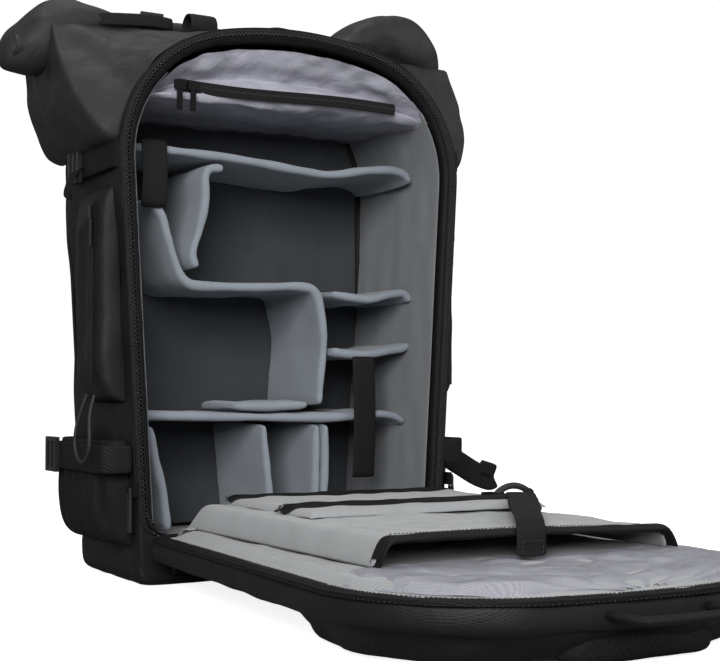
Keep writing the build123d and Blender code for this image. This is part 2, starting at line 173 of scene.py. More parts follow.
def catmull(points, per, closed=False):
    """Smooth line through a few points."""
    p = [np.array(q, float) for q in points]
    n = len(p)
    out = []
    for i in range(n if closed else n - 1):
        a = p[(i - 1) % n] if closed or i else 2 * p[0] - p[1]
        b, c = p[i], p[(i + 1) % n]
        d = p[(i + 2) % n] if closed or i + 2 < n else 2 * p[-1] - p[-2]
        for t in np.linspace(0, 1, per, endpoint=False):
            out.append(0.5 * (2 * b + (c - a) * t + (2 * a - 5 * b + 4 * c - d) * t * t
                              + (3 * b - a - 3 * c + d) * t ** 3))
    if not closed:
        out.append(p[-1])
    return out


def modify(obj, kind, **values):
    m = obj.modifiers.new(kind.lower(), kind)
    for k, v in values.items():
        setattr(m, k, v)
    return m


def solid(obj, thickness, offset=-1.0):
    """Give a surface a thickness in millimetres."""
    modify(obj, "SOLIDIFY", thickness=thickness * MM, offset=offset)
    return obj


def subdivide(obj, levels=1):
    modify(obj, "SUBSURF", levels=levels, render_levels=levels)
    return obj


def bake(obj):
    """Apply every modifier to the mesh."""
    dg = bpy.context.evaluated_depsgraph_get()
    mesh = bpy.data.meshes.new_from_object(obj.evaluated_get(dg), depsgraph=dg)
    obj.modifiers.clear()
    obj.data = mesh
    return obj


def displace(obj, height):
    """Move each vertex along its normal by height(point in mm), in mm."""
    mesh = obj.data
    count = len(mesh.vertices)
    co = np.empty(count * 3)
    mesh.vertices.foreach_get("co", co)
    co = co.reshape(-1, 3)
    normals = np.array([v.normal[:] for v in mesh.vertices])
    amount = np.array([height(c / MM) for c in co]) * MM
    mesh.vertices.foreach_set("co", (co + normals * amount[:, None]).ravel())
    mesh.update()
    return obj


def wrinkles(size, depth, seed=0.0, stretch=(1, 1, 1)):
    """Soft random swelling, size in mm across, for displace()."""
    def height(p):
        q = Vector((p[0] * stretch[0], p[1] * stretch[1], p[2] * stretch[2])) / size
        return depth * noise.noise(q + Vector((seed, seed * 1.7, 3.1)))
    return height


def folds(lines):
    """Ridges and valleys along segments: (start, end, half width, height)."""
    made = [(np.array(a, float), np.array(b, float), w, h) for a, b, w, h in lines]

    def height(p):
        total = 0.0
        for a, b, w, h in made:
            d = b - a
            t = min(1.0, max(0.0, float(np.dot(p - a, d) / np.dot(d, d))))
            away = np.linalg.norm(p - a - t * d) / w
            if away < 2.5:
                total += h * math.exp(-away * away) * min(1.0, 4 * min(t, 1 - t) + 0.15)
        return total
    return height


def summed(*heights):
    return lambda p: sum(h(p) for h in heights)


def frames_along(points, up=(0, 0, 1), closed=False):
    """Tangent, side and up at each point of a line."""
    p = [Vector(q) for q in points]
    n = len(p)
    out = []
    for i in range(n):
        a = p[(i - 1) % n] if closed or i else p[0]
        b = p[(i + 1) % n] if closed or i + 1 < n else p[-1]
        t = (b - a).normalized()
        u = up[i] if isinstance(up, list) else up
        side = t.cross(Vector(u)).normalized()
        out.append((p[i], t, side, side.cross(t).normalized()))
    return out


def sweep_section(points, section, up=(0, 0, 1), closed=False):
    """Mesh of a closed section [(across, above)] carried along a line."""
    rows = [[p + s * a + u * b for a, b in section] for p, t, s, u in frames_along(points, up, closed)]
    return grid(rows, wrap_row=closed, wrap_col=True, cap=not closed)


def round_section(r, count=8):
    return [(r * math.cos(a), r * math.sin(a)) for a in np.linspace(0, 2 * math.pi, count, endpoint=False)]


def flat_section(width, thick, edge=0.35):
    """Webbing's section: a flat bar with rounded edges."""
    w, t = width / 2, thick / 2
    e = thick * edge
    return [(-w, 0), (-w + e, t), (-w / 3, t), (w / 3, t), (w - e, t),
            (w, 0), (w - e, -t), (w / 3, -t), (-w / 3, -t), (-w + e, -t)]


def tube(name, points, r, material, body="bag", closed=False, up=(0, 0, 1)):
    verts, faces = sweep_section(points, round_section(r), up, closed)
    return mesh_object(name, verts, faces, material, body)


def webbing(points, width, thick=1.8, across=(0, 0, 1), step=4.0):
    """Mesh of a ribbon of webbing along a line through a few points; across is the way its width lies."""
    length = sum((Vector(b) - Vector(a)).length for a, b in zip(points, points[1:]))
    line = [Vector(p) for p in resample([tuple(p) for p in catmull(points, 6)], max(6, int(length / step)))]
    rows = []
    for i, p in enumerate(line):
        t = (line[min(i + 1, len(line) - 1)] - line[max(i - 1, 0)]).normalized()
        side = Vector(across) - t * t.dot(Vector(across))
        side.normalize()
        rows.append([p + side * a + side.cross(t) * b for a, b in flat_section(width, thick)])
    return grid(rows, wrap_col=True, cap=True)


def stitch_row(points, up, pitch=3.2, length=2.1, r=0.28, lift=0.15):
    """Row of short thread stitches lying on a surface along a line."""
    p = [Vector(q) for q in points]
    total = sum((b - a).length for a, b in zip(p, p[1:]))
    line = resample([tuple(q) for q in points], max(3, int(total / 1.0)))
    parts = []
    count = int(total / pitch)
    for k in range(count):
        i = int((k + 0.3) / count * (len(line) - 1))
        a, b = Vector(line[i]), Vector(line[min(i + 2, len(line) - 1)])
        t = (b - a).normalized()
        u = Vector(up[i * len(up) // len(line)]) if isinstance(up, list) else Vector(up)
        s = t.cross(u).normalized()
        rows = []
        for f, w in ((-0.5, 0.35), (-0.3, 1.0), (0.3, 1.0), (0.5, 0.35)):
            c = a + t * (length * f) + u * lift
            rows.append([c + s * (r * w), c + u * (r * w * 1.3), c - s * (r * w), c - u * (r * w)])
        parts.append(grid(rows, wrap_col=True, cap=True))
    return join(parts)


def coil(points, up, width=3.0, pitch=1.7):
    """Zip coil: small rounded teeth across a line, alternately from each side."""
    p = [Vector(q) for q in points]
    total = sum((b - a).length for a, b in zip(p, p[1:]))
    count = int(total / pitch)
    line = resample([tuple(q) for q in points], count)
    ups = up if isinstance(up, list) else None
    parts = []
    for k in range(count - 1):
        a, b = Vector(line[k]), Vector(line[k + 1])
        t = (b - a).normalized()
        u = Vector(ups[k * len(ups) // count]) if ups else Vector(up)
        s = t.cross(u).normalized() * (1 if k % 2 else -1)
        rows = []
        for f, h in ((-0.25, 0.35), (0.1, 0.62), (0.85, 0.62), (1.0, 0.3)):
            c = a + s * (width / 2 * f)
            rows.append([c - t * (pitch * 0.3), c - t * (pitch * 0.3) + u * h,
                         c + t * (pitch * 0.3) + u * h, c + t * (pitch * 0.3)])
        parts.append(grid(rows, wrap_col=True, cap=True))
    return join(parts)


def slab_along(path, thick, y0, y1, rounding=0.48, columns=9, per=6):
    """Padded divider: a sheet that follows a line in X and Z, with rounded front and back edges."""
    line = resample([tuple(q) for q in catmull(path, 10)], max(10, int(len(path) * per)))
    section = []
    r = thick * rounding
    for a in np.linspace(math.pi / 2, math.pi * 1.5, 7):
        section.append((y0 + r + r * math.cos(a), thick / 2 * math.sin(a)))
    for a in np.linspace(0, 1, columns)[1:-1]:
        section.append((y0 + r + (y1 - y0 - 2 * r) * a, -thick / 2))
    for a in np.linspace(-math.pi / 2, math.pi / 2, 7):
        section.append((y1 - r + r * math.cos(a), thick / 2 * math.sin(a)))
    for a in np.linspace(1, 0, columns)[1:-1]:
        section.append((y0 + r + (y1 - y0 - 2 * r) * a, thick / 2))
    rows = []
    n = len(line)
    for i, (x, z) in enumerate(line):
        a, b = line[max(0, i - 1)], line[min(n - 1, i + 1)]
        t = Vector((b[0] - a[0], b[1] - a[1])).normalized()
        end = min(1.0, 0.45 + 0.55 * min(i, n - 1 - i) / 2.0)
        rows.append([(x - t.y * h * end, y, z + t.x * h * end) for y, h in section])
    return grid(rows, wrap_col=True, cap=True)


def padded_block(name, x, y, z, material, body, corner=14.0, puff=3.0):
    """Foam pad with crowned faces: a rounded box with its edges pulled in."""
    cx, cy, cz = sum(x) / 2, sum(y) / 2, sum(z) / 2
    hx, hy, hz = (x[1] - x[0]) / 2 - puff, (y[1] - y[0]) / 2 - puff, (z[1] - z[0]) / 2 - puff * 0.45
    ring = []
    for sx, sy, start in ((1, 1, 0), (-1, 1, 90), (-1, -1, 180), (1, -1, 270)):
        for a in np.linspace(math.radians(start), math.radians(start + 90), 5):
            ring.append((sx * (hx - corner) + corner * math.cos(a),
                         sy * (hy - corner) + corner * math.sin(a)))
    rows = []
    for f, h in ((0.02, 1), (0.5, 1), (0.85, 0.98), (0.96, 0.8), (1.0, 0.3), (1.0, -0.3), (0.96, -0.8),
                 (0.85, -0.98), (0.5, -1), (0.02, -1)):
        rows.append([(cx + px * f, cy + py * f, cz + hz * h) for px, py in ring])
    verts, faces = grid(rows, wrap_col=True, cap=True)
    obj = mesh_object(name, verts, faces, material, body)
    return obj


def inflate(obj, voxel=5.0, pressure=4.0, cap=6.0, frames=20):
    """Swell a closed pad by cloth pressure, with a limit on how far each point moves."""
    modify(obj, "REMESH", mode="VOXEL", voxel_size=voxel * MM, use_smooth_shade=True)
    bake(obj)
    start = np.array([v.co[:] for v in obj.data.vertices])
    cloth = modify(obj, "CLOTH")
    cloth.settings.use_pressure = True
    cloth.settings.uniform_pressure_force = pressure
    cloth.settings.effector_weights.gravity = 0.0
    cloth.settings.quality = 5
    scene = bpy.context.scene
    for f in range(1, frames + 1):
        scene.frame_set(f)
    bake(obj)
    scene.frame_set(1)
    end = np.array([v.co[:] for v in obj.data.vertices])
    move = end - start
    far = np.linalg.norm(move, axis=1, keepdims=True)
    limit = cap * MM
    move *= np.minimum(1.0, limit / np.maximum(far, 1e-9))
    obj.data.vertices.foreach_set("co", (start + move).ravel())
    obj.data.update()
    return obj


# --- materials ---

def node_maker(mat):
    tree = mat.node_tree

    def make(kind, **inputs):
        n = tree.nodes.new(kind)
        for k, v in inputs.items():
            if k in n.bl_rna.properties.keys():
                setattr(n, k, v)
            else:
                n.inputs[k].default_value = v
        return n

    def link(a, out, b, into):
        tree.links.new(a.outputs[out], b.inputs[into])
    return make, link


def material(name, colour, rough, pitch=1.4, relief=0.25, sheen=0.0, mottle=0.15, mottle_size=45.0,
             crinkle=0.0, crinkle_size=18.0, fuzz=0.0, rib=None, specular=0.5, metallic=0.0, coat=0.0):
    """Procedural surface: woven or ribbed relief with painted shade in its grooves, mottled colour, fine fuzz
    and soft crinkles.
    """
    mat = bpy.data.materials.new(name)
    mat.use_nodes = True
    make, link = node_maker(mat)
    shader = mat.node_tree.nodes["Principled BSDF"]
    shader.inputs["Metallic"].default_value = metallic
    shader.inputs["Specular IOR Level"].default_value = specular
    shader.inputs["Sheen Weight"].default_value = sheen
    shader.inputs["Sheen Roughness"].default_value = 0.5
    shader.inputs["Coat Weight"].default_value = coat
    coords = make("ShaderNodeTexCoord")
    period = 2 * math.pi / 20
    waves = []
    for turn in ((0, 0, 0), (0.0, math.pi / 2, math.pi / 2)):
        spin = make("ShaderNodeMapping", Rotation=turn)
        link(coords, "Object", spin, "Vector")
        wave = make("ShaderNodeTexWave", Scale=period / (pitch * MM), Distortion=0.6, Detail=1.0)
        wave.inputs["Detail Scale"].default_value = 1.5
        wave.bands_direction = rib or "DIAGONAL"
        link(spin, "Vector", wave, "Vector")
        waves.append(wave)
        if rib:
            break
    height = waves[0]
    out = "Fac"
    if len(waves) > 1:
        height = make("ShaderNodeMath", operation="MAXIMUM")
        link(waves[0], "Fac", height, 0)
        link(waves[1], "Fac", height, 1)
        out = "Value"
    large = make("ShaderNodeTexNoise", Scale=1 / (mottle_size * MM), Detail=4.0, Roughness=0.6)
    fine = make("ShaderNodeTexNoise", Scale=1 / (0.9 * MM), Detail=3.0, Roughness=0.75)
    soft = make("ShaderNodeTexNoise", Scale=1 / (crinkle_size * MM), Detail=3.0, Roughness=0.55,
                Distortion=0.8)
    for n in (large, fine, soft):
        link(coords, "Object", n, "Vector")
    blend = make("ShaderNodeMath", operation="MULTIPLY_ADD")
    link(fine, "Fac", blend, 0)
    blend.inputs[1].default_value = 0.25 + fuzz
    link(large, "Fac", blend, 2)
    ramp = make("ShaderNodeValToRGB")
    low = [c * (1 - mottle) for c in colour] + [1]
    high = [min(1.0, c * (1 + mottle)) for c in colour] + [1]
    ramp.color_ramp.elements[0].color, ramp.color_ramp.elements[0].position = low, 0.35
    ramp.color_ramp.elements[1].color, ramp.color_ramp.elements[1].position = high, 0.85
    link(blend, "Value", ramp, "Fac")
    # painted shade: the base colour is darkened where the weave's height is low, in its grooves
    groove_shade = make("ShaderNodeMixRGB", blend_type="MULTIPLY", Fac=0.35)
    link(ramp, "Color", groove_shade, "Color1")
    link(height, out, groove_shade, "Color2")
    link(groove_shade, "Color", shader, "Base Color")
    gloss = make("ShaderNodeMapRange")
    gloss.inputs["To Min"].default_value = max(0.05, rough - 0.08)
    gloss.inputs["To Max"].default_value = min(1.0, rough + 0.08)
    link(large, "Fac", gloss, "Value")
    link(gloss, "Result", shader, "Roughness")
    weave = make("ShaderNodeBump", Strength=relief, Distance=0.3 * MM)
    link(height, out, weave, "Height")
    hair = make("ShaderNodeBump", Strength=min(1.0, 0.15 + fuzz), Distance=0.35 * MM)
    link(fine, "Fac", hair, "Height")
    link(weave, "Normal", hair, "Normal")
    last = hair
    if crinkle:
        crease = make("ShaderNodeBump", Strength=min(1.0, crinkle), Distance=2.5 * MM)
        link(soft, "Fac", crease, "Height")
        link(hair, "Normal", crease, "Normal")
        last = crease
    link(last, "Normal", shader, "Normal")
    return mat


M = {
    "shell": material("shell_fabric", (0.0085, 0.0085, 0.009), 0.55, pitch=1.0, relief=0.35, specular=0.2,
                      crinkle=0.35, crinkle_size=20),
    # roll fabric: its own charcoal is a little lighter than the shell's, and the colour is raised further to
    # paint the light that the roll's folds catch
    "roll": material("roll_fabric", (0.020, 0.020, 0.021), 0.54, pitch=0.9, relief=0.3, specular=0.22,
                     crinkle=0.5, crinkle_size=18),
    "binding": material("binding_tape", (0.0055, 0.0055, 0.006), 0.62, pitch=1.3, relief=0.5, rib="DIAGONAL",
                        specular=0.16),
    "zip": material("zip_tape", (0.005, 0.005, 0.0055), 0.6, pitch=1.0, relief=0.4, rib="DIAGONAL",
                    specular=0.16),
    "teeth": material("zip_coil", (0.009, 0.009, 0.010), 0.32, pitch=0.6, relief=0.05, mottle=0.1),
    "divider": material("divider_fabric", (0.225, 0.250, 0.282), 0.94, pitch=0.9, relief=0.22, sheen=0.15,
                        mottle=0.10, mottle_size=30, fuzz=0.4, specular=0.15, crinkle=0.12, crinkle_size=30),
    "felt": material("lining_felt", (0.165, 0.172, 0.180), 0.95, pitch=1.2, relief=0.35, sheen=0.15,
                     mottle=0.14, mottle_size=22, fuzz=0.45, specular=0.12, crinkle=0.25, crinkle_size=26),
    "felt_light": material("panel_felt", (0.265, 0.272, 0.278), 0.95, pitch=1.2, relief=0.35, sheen=0.15,
                           mottle=0.12, mottle_size=22, fuzz=0.45, specular=0.12, crinkle=0.3,
                           crinkle_size=26),
    # back wall felt: the grey lining felt darkened to paint the shade that falls deep in the bag, not a
    # darker cloth
    "felt_painted_shade": material("back_felt_painted_shade", (0.045, 0.048, 0.053), 0.95, pitch=1.2, relief=0.35, sheen=0.1,
                          mottle=0.2, mottle_size=30, fuzz=0.4, specular=0.12),
    "nylon": material("lining_nylon", (0.36, 0.36, 0.42), 0.46, pitch=0.7, relief=0.2, specular=0.4,
                      mottle=0.08, crinkle=0.7, crinkle_size=14),
    "nylon_panel": material("panel_nylon", (0.265, 0.265, 0.30), 0.46, pitch=0.7, relief=0.2, specular=0.4,
                            mottle=0.08, crinkle=0.7, crinkle_size=14),
    "webbing": material("webbing", (0.0065, 0.0065, 0.007), 0.66, pitch=1.6, relief=0.8, rib="DIAGONAL",
                        specular=0.18),
    "plastic": material("buckle_plastic", (0.007, 0.007, 0.0075), 0.38, pitch=0.8, relief=0.06, mottle=0.12),
    "metal": material("zip_metal", (0.012, 0.012, 0.013), 0.3, pitch=0.8, relief=0.03, metallic=0.7),
    "rubber": material("pull_rubber", (0.008, 0.008, 0.0085), 0.55, pitch=1.8, relief=0.5),
    "mesh": material("harness_mesh", (0.0075, 0.0075, 0.0085), 0.8, pitch=3.2, relief=1.0, fuzz=0.2,
                     specular=0.14),
    "stretch": material("stretch_mesh", (0.009, 0.009, 0.0095), 0.7, pitch=1.1, relief=0.6, rib="X",
                        specular=0.16),
    "cord": material("elastic_cord", (0.012, 0.012, 0.0125), 0.6, pitch=1.1, relief=0.8),
    "foam": material("foam", (0.04, 0.04, 0.043), 0.9, pitch=2.0, relief=0.2, fuzz=0.5),
    "sheet": material("frame_plastic", (0.03, 0.03, 0.03), 0.45, pitch=2.0, relief=0.1),
    "stay": material("stay_aluminium", (0.6, 0.6, 0.62), 0.35, pitch=0.7, relief=0.1, metallic=1.0, rib="Y"),
    "thread": material("thread", (0.022, 0.022, 0.024), 0.6, pitch=0.5, relief=0.3),
}

KEPT = {
    "panel_foam": "foam", "frame_sheet": "sheet", "frame_stays": "stay", "main_slider_left": "metal",
    "main_slider_right": "metal", "main_pull_left": "rubber", "main_pull_right": "rubber",
    "side_slider_left": "metal", "side_slider_right": "metal", "liner_sliders": "metal",
    "panel_slider": "metal", "side_ladder_locks": "plastic", "roll_buckles": "plastic",
    "shell": "shell", "front_gusset": "binding", "base_boot": "shell", "hinge_strip": "shell",
    "side_zips": "zip", "shell_zip": "zip", "panel_zip": "zip", "liner_zip": "zip",
}
for node, obj in NODES.items():
    obj.data.materials.clear()
    obj.data.materials.append(M[KEPT.get(node, "webbing")])


def finish_piece(obj, slot, *nodes):
    if nodes:
        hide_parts(*nodes)
    return obj


# --- camera, lights and floor ---

def camera():
    data = bpy.data.cameras.new("camera")
    data.lens, data.sensor_width = 70.06, 36.0
    cam = bpy.data.objects.new("camera", data)
    bpy.context.scene.collection.objects.link(cam)
    yaw, pitch = 0.523, 0.042
    look = Vector((math.sin(yaw) * math.cos(pitch), math.cos(yaw) * math.cos(pitch), math.sin(pitch)))
    cam.location = (-0.5961, -1.2341, 0.1703)
    cam.rotation_euler = look.to_track_quat("-Z", "Y").to_euler()
    data.clip_start, data.clip_end = 0.01, 50
    bpy.context.scene.camera = cam


def area_light(name, at, aim, size, power, colour=(1, 1, 1)):
    data = bpy.data.lights.new(name, "AREA")
    data.shape, data.size, data.energy, data.color = "SQUARE", size, power, colour
    lamp = bpy.data.objects.new(name, data)
    bpy.context.scene.collection.objects.link(lamp)
    lamp.location = at
    lamp.rotation_euler = (Vector(aim) - Vector(at)).to_track_quat("-Z", "Y").to_euler()


def studio():
    area_light("key", (-1.3, -2.1, 0.95), (0, -0.05, 0.2), 1.1, 62)
    area_light("fill", (1.7, -1.5, 1.5), (0.1, -0.05, 0.4), 1.2, 22)
    area_light("top", (-0.2, 0.1, 2.2), (0, 0, 0.3), 1.2, 16)
    world = bpy.data.worlds.new("studio")
    world.use_nodes = True
    bpy.context.scene.world = world
    sky = world.node_tree.nodes["Background"]
    sky.inputs["Color"].default_value = (1, 1, 1, 1)
    sky.inputs["Strength"].default_value = 0.26
    backdrop = world.node_tree.nodes.new("ShaderNodeBackground")
    backdrop.inputs["Color"].default_value = (1, 1, 1, 1)
    backdrop.inputs["Strength"].default_value = 1.05
    seen = world.node_tree.nodes.new("ShaderNodeLightPath")
    mix = world.node_tree.nodes.new("ShaderNodeMixShader")
    link = world.node_tree.links.new
    link(seen.outputs["Is Camera Ray"], mix.inputs["Fac"])
    link(sky.outputs["Background"], mix.inputs[1])
    link(backdrop.outputs["Background"], mix.inputs[2])
    link(mix.outputs["Shader"], world.node_tree.nodes["World Output"].inputs["Surface"])
    paper = material("floor_paper", (0.93, 0.93, 0.93), 0.9, relief=0.0, mottle=0.01)
    glow = paper.node_tree.nodes["Principled BSDF"]
    glow.inputs["Emission Color"].default_value = (1, 1, 1, 1)
    glow.inputs["Emission Strength"].default_value = 0.85
    make, join_up = node_maker(paper)
    dull = make("ShaderNodeBsdfDiffuse", Color=(0.22, 0.22, 0.22, 1))
    seen, mix = make("ShaderNodeLightPath"), make("ShaderNodeMixShader")
    join_up(seen, "Is Camera Ray", mix, "Fac")
    join_up(dull, "BSDF", mix, 1)
    join_up(glow, "BSDF", mix, 2)
    join_up(mix, "Shader", paper.node_tree.nodes["Material Output"], "Surface")
    floor = mesh_object("studio_floor",
                        [(-9e3, -9e3, -0.2), (9e3, -9e3, -0.2), (9e3, 9e3, -0.2), (-9e3, 9e3, -0.2)],
                        [(0, 1, 2, 3)], paper, None)
    bpy.context.scene.view_settings.view_transform = "Standard"


# --- shell ---

def zip_line(name, line, up, width, body, *nodes):
    """Woven zip tape with a coil of teeth along its middle."""
    tape = sweep_section(line, flat_section(width, 0.8), up)
    finish_piece(subdivide(mesh_object(name + "_tape", *tape, M["zip"], body)), "zip_tape", *nodes)
    lifted = [tuple(Vector(p) + Vector(up) * 0.3) for p in line]
    finish_piece(mesh_object(name + "_coil", *coil(lifted, up, 2.8), M["teeth"], body), "zip_tape")


def shell_rows():
    """Rings from the rim, back along the sides, round the back corner and in across the back."""
    rows = []
    corner = 34.0
    for y in np.linspace(RIM_Y + 2, BACK_Y - corner, 20):
        bulge = 2.5 * math.sin(math.pi * (y - RIM_Y) / (BACK_Y - RIM_Y))
        rows.append(upright(outline(SHELL_OUT - 1.0 + bulge, FOOT_Z, 200), y))
    for a in np.linspace(0, math.pi / 2, 9)[1:]:
        shrink = corner * (1 - math.cos(a))
        rows.append(upright(outline(SHELL_OUT + 0.8 - shrink, FOOT_Z + shrink * 0.8, 200),
                            BACK_Y - corner + corner * math.sin(a)))
    last = np.array(rows[-1])
    middle = np.array([0, BACK_Y + 3, 250])
    for f in (0.85, 0.68, 0.5, 0.32, 0.16, 0.03):
        ring = middle + (last - middle) * np.array([f, 1, f])
        ring[:, 1] = BACK_Y + 2.0 * (1 - f * f)
        rows.append([tuple(p) for p in ring])
    return rows


def shell():
    verts, faces = grid(shell_rows(), wrap_col=True)
    faces.append(tuple(range(len(verts) - 200, len(verts))))
    obj = mesh_object("shell_cover", verts, faces, M["shell"])
    side = [((s * 170, -70, 130), (s * 170, -20, 360), 14, 1.6) for s in (-1, 1)]
    side += [((s * 168, 60, 60), (s * 170, -10, 150), 10, -1.8) for s in (-1, 1)]
    side += [((s * 150, -80, 420), (s * 165, 20, 400), 9, 1.8) for s in (-1, 1)]
    displace(obj, summed(wrinkles(70, 3.2, 1), wrinkles(26, 1.2, 4), folds(side)))
    subdivide(solid(obj, 1.6))
    finish_piece(obj, "shell_fabric", "shell")
    seam = upright(outline(SHELL_OUT + 1.4, 36, 260), BACK_Y - 32)
    finish_piece(tube("back_seam_piping", seam, 1.5, M["binding"], closed=True, up=(0, 1, 0)), "webbing")


def boot():
    rows = []
    for z, out in ((0.2, -24), (0.1, -6), (0.8, 3), (5, 8), (14, 9.0), (26, 9.2), (33, 8.6), (34.5, 7.0)):
        half = half_width(30, out)
        ring = []
        corner = 36.0 + min(out, 0)
        y0, y1 = RIM_Y + 1.5, BACK_Y + 3 + min(out - 9, 0)
        y0 -= min(out, 0)
        for sx, sy, start, r in ((1, 1, 0, corner), (-1, 1, 90, corner), (-1, -1, 180, 6), (1, -1, 270, 6)):
            edge = y1 if sy > 0 else -y0
            for a in np.linspace(math.radians(start), math.radians(start + 90), 9):
                ring.append((sx * (half - r) + r * math.cos(a), sy * (edge - r) + r * math.sin(a), z))
        rows.append([tuple(p) for p in resample(ring, 160, True)])
    verts, faces = grid(rows, wrap_col=True)
    faces.append(tuple(reversed(range(160))))
    obj = mesh_object("base_cover", verts, faces, M["shell"])
    displace(obj, wrinkles(24, 1.0, 9))
    finish_piece(subdivide(obj), "shell_fabric", "base_boot")


def rim():
    """Band round the opening: outer fabric, zip coil, piping, stitching, and the binding over the pads'
    edges.
    """
    section = [(6.8, 4.5), (7.2, 1.5), (6.6, 0.8), (4.4, 0.5), (2.0, 0.9), (0.8, 1.4), (-0.6, 2.2),
               (-0.6, 3.2)]
    rows = [upright(outline(g, FOOT_Z if g > 3 else 40 - g, 240), RIM_Y + d) for g, d in section]
    verts, faces = grid(rows, wrap_col=True)
    obj = mesh_object("rim_band", verts, faces, M["shell"])
    displace(obj, wrinkles(30, 0.5, 2))
    finish_piece(subdivide(obj), "shell_fabric", "front_gusset")
    rows = [upright(outline(g, 42, 240, closed=False), RIM_Y + d)
            for g, d in ((-0.2, 1.8), (-1.6, 1.0), (-5.0, 2.2), (-7.2, 5.6), (-7.0, 11.0), (-5.0, 17))]
    verts, faces = grid(rows)
    inner = mesh_object("rim_binding", verts, faces, M["binding"])
    displace(inner, wrinkles(14, 0.7, 5))
    finish_piece(subdivide(solid(inner, 0.8)), "webbing")
    tooth_line = upright(outline(1.4, 52, 400, closed=False), RIM_Y + 0.6)
    verts, faces = coil(tooth_line, (0, -1, 0), 3.2, 1.9)
    teeth = mesh_object("rim_zip_coil", verts, faces, M["teeth"])
    finish_piece(teeth, "zip_tape", "shell_zip")
    for name, grow, y in (("rim_piping_outer", 6.6, 1.3), ("rim_piping_inner", -1.4, 1.3)):
        line = upright(outline(grow, 44, 260, closed=False), RIM_Y + y)
        piping = tube(name, line, 1.0, M["binding"], up=(0, 1, 0))
        finish_piece(subdivide(piping), "webbing")
    line = upright(outline(4.4, 50, 300, closed=False), RIM_Y + 0.4)
    verts, faces = stitch_row(line, (0, -1, 0))
    finish_piece(mesh_object("rim_stitching", verts, faces, M["thread"], smooth=False), "webbing")


# --- inside ---

def wall_linings():
    """Padded lining of the two side walls, one sheet each, with soft upright ripples."""
    for side, name in ((-1, "left"), (1, "right")):
        line = [p for p in outline(-WALL_PAD, FLOOR_Z + 0.5, 320, 6.0)
                if p[0] * side > 0 and FLOOR_Z + 6 < p[1] < 455]
        line = sorted(line, key=lambda p: p[1])
        rows = []
        for y in np.linspace(RIM_Y + 8, DIVIDER_BACK, 26):
            rows.append([(x - side * 0.6, y, z) for x, z in resample(line, 60)])
        verts, faces = grid(rows)
        obj = mesh_object(name + "_wall_lining", verts, faces, M["felt"])
        if side > 0:
            obj.data.flip_normals()
        ripple = summed(wrinkles(34, 3.0, side + 3, (1, 1.4, 0.35)), wrinkles(15, 0.9, side))
        displace(obj, lambda p: ripple(p) * min(1.0, max(0.0, (p[1] - RIM_Y - 8) / 16)))
        finish_piece(subdivide(solid(obj, 1.5, 0)), "lining_felt", name + "_wall_pad")


def back_and_floor():
    rows = []
    for f in np.linspace(0, 1, 24):
        z = FLOOR_Z + f * 430
        half = 140 if z < 380 else 140 - (z - 380) ** 2 / 260
        rows.append([(x * half, DIVIDER_BACK + 0.3, z) for x in np.linspace(-1.08, 1.08, 30)])
    verts, faces = grid(rows)
    # the back wall takes the darkened lining felt: painted shade of the deep recess
    obj = mesh_object("back_wall_lining", verts, faces, M["felt_painted_shade"])
    displace(obj, wrinkles(45, 1.6, 8))
    finish_piece(subdivide(solid(obj, 1.5, 1)), "lining_felt", "back_wall_pad")
    rows = []
    for y in np.linspace(RIM_Y + 3, DIVIDER_BACK, 16):
        rows.append([(x, y, FLOOR_Z - 0.6) for x in np.linspace(-half_width(40, -9), half_width(40, -9), 30)])
    verts, faces = grid(rows)
    obj = mesh_object("floor_lining", verts, faces, M["felt"])
    displace(obj, wrinkles(30, 1.2, 6))
    finish_piece(subdivide(solid(obj, 1.5, 0)), "lining_felt", "floor_pad")


DIVIDERS = {
    "top_shelf": [(-157, 390), (-110, 390), (-40, 387), (20, 382), (60, 380), (98, 387), (128, 390),
                  (146, 386),
                  (152, 376)],
    "mid_shelf": [(-147, 147), (-100, 146), (-40, 144.5), (60, 143), (110, 146), (136, 143), (145, 134)],
    "stepped_divider": [(-130, 344), (-118, 332), (-112, 316), (-101, 282), (-93, 270), (-78, 266),
                        (-20, 267),
                        (28, 269), (43, 264), (49, 245), (52, 218), (49, 180), (47, 154)],
    "short_divider": [(-55, 377), (-68, 376), (-73.5, 368), (-73, 345), (-79, 318), (-85, 296), (-82, 282)],
    "right_shelf_upper": [(60, 263), (80, 261), (104, 259.5), (128, 265), (144, 266), (151, 258)],
    "right_shelf_lower": [(60, 206.5), (80, 205), (104, 204.5), (126, 209), (141, 211), (150, 215)],
    "lower_divider_left": [(-127.5, 138), (-122, 110), (-113, 74), (-109, 41)],
    "lower_divider_mid": [(-13, 138), (-10, 108), (-6, 74), (-4, 41)],
}


def dividers():
    """Foam dividers in brushed loop fabric, each sagging a little, with soft rounded front edges."""
    for k, (name, path) in enumerate(DIVIDERS.items()):
        front, back = DIVIDER_FRONT + 0.6, DIVIDER_BACK - 1.0
        verts, faces = slab_along(path, 8.6, front, back)
        obj = mesh_object(name + "_pad", verts, faces, M["divider"])
        displace(obj, summed(wrinkles(32, 1.6, k), wrinkles(11, 0.5, k + 20)))
        subdivide(obj)
        finish_piece(obj, "divider_fabric", name)
    parts = []
    for top, foot in (((44, 138), (41, 41)), ((54, 138), (51, 41))):
        mid = ((top[0] + foot[0]) / 2 + 0.8, 90)
        parts.append(slab_along([top, mid, foot], 8.2, DIVIDER_FRONT + 0.6, DIVIDER_BACK - 1.0))
    verts, faces = join(parts)
    obj = mesh_object("lower_divider_right_pad", verts, faces, M["divider"])
    displace(obj, wrinkles(24, 1.2, 31))
    subdivide(obj)
    finish_piece(obj, "divider_fabric", "lower_divider_right")
    verts, faces = slab_along([(-45, 154.5), (-10, 154), (35, 155.5)], 9.4, DIVIDER_FRONT + 0.5, 40)
    obj = mesh_object("folded_pad_soft", verts, faces, M["divider"])
    displace(obj, wrinkles(26, 1.2, 41))
    subdivide(obj)
    finish_piece(obj, "divider_fabric", "folded_pad")


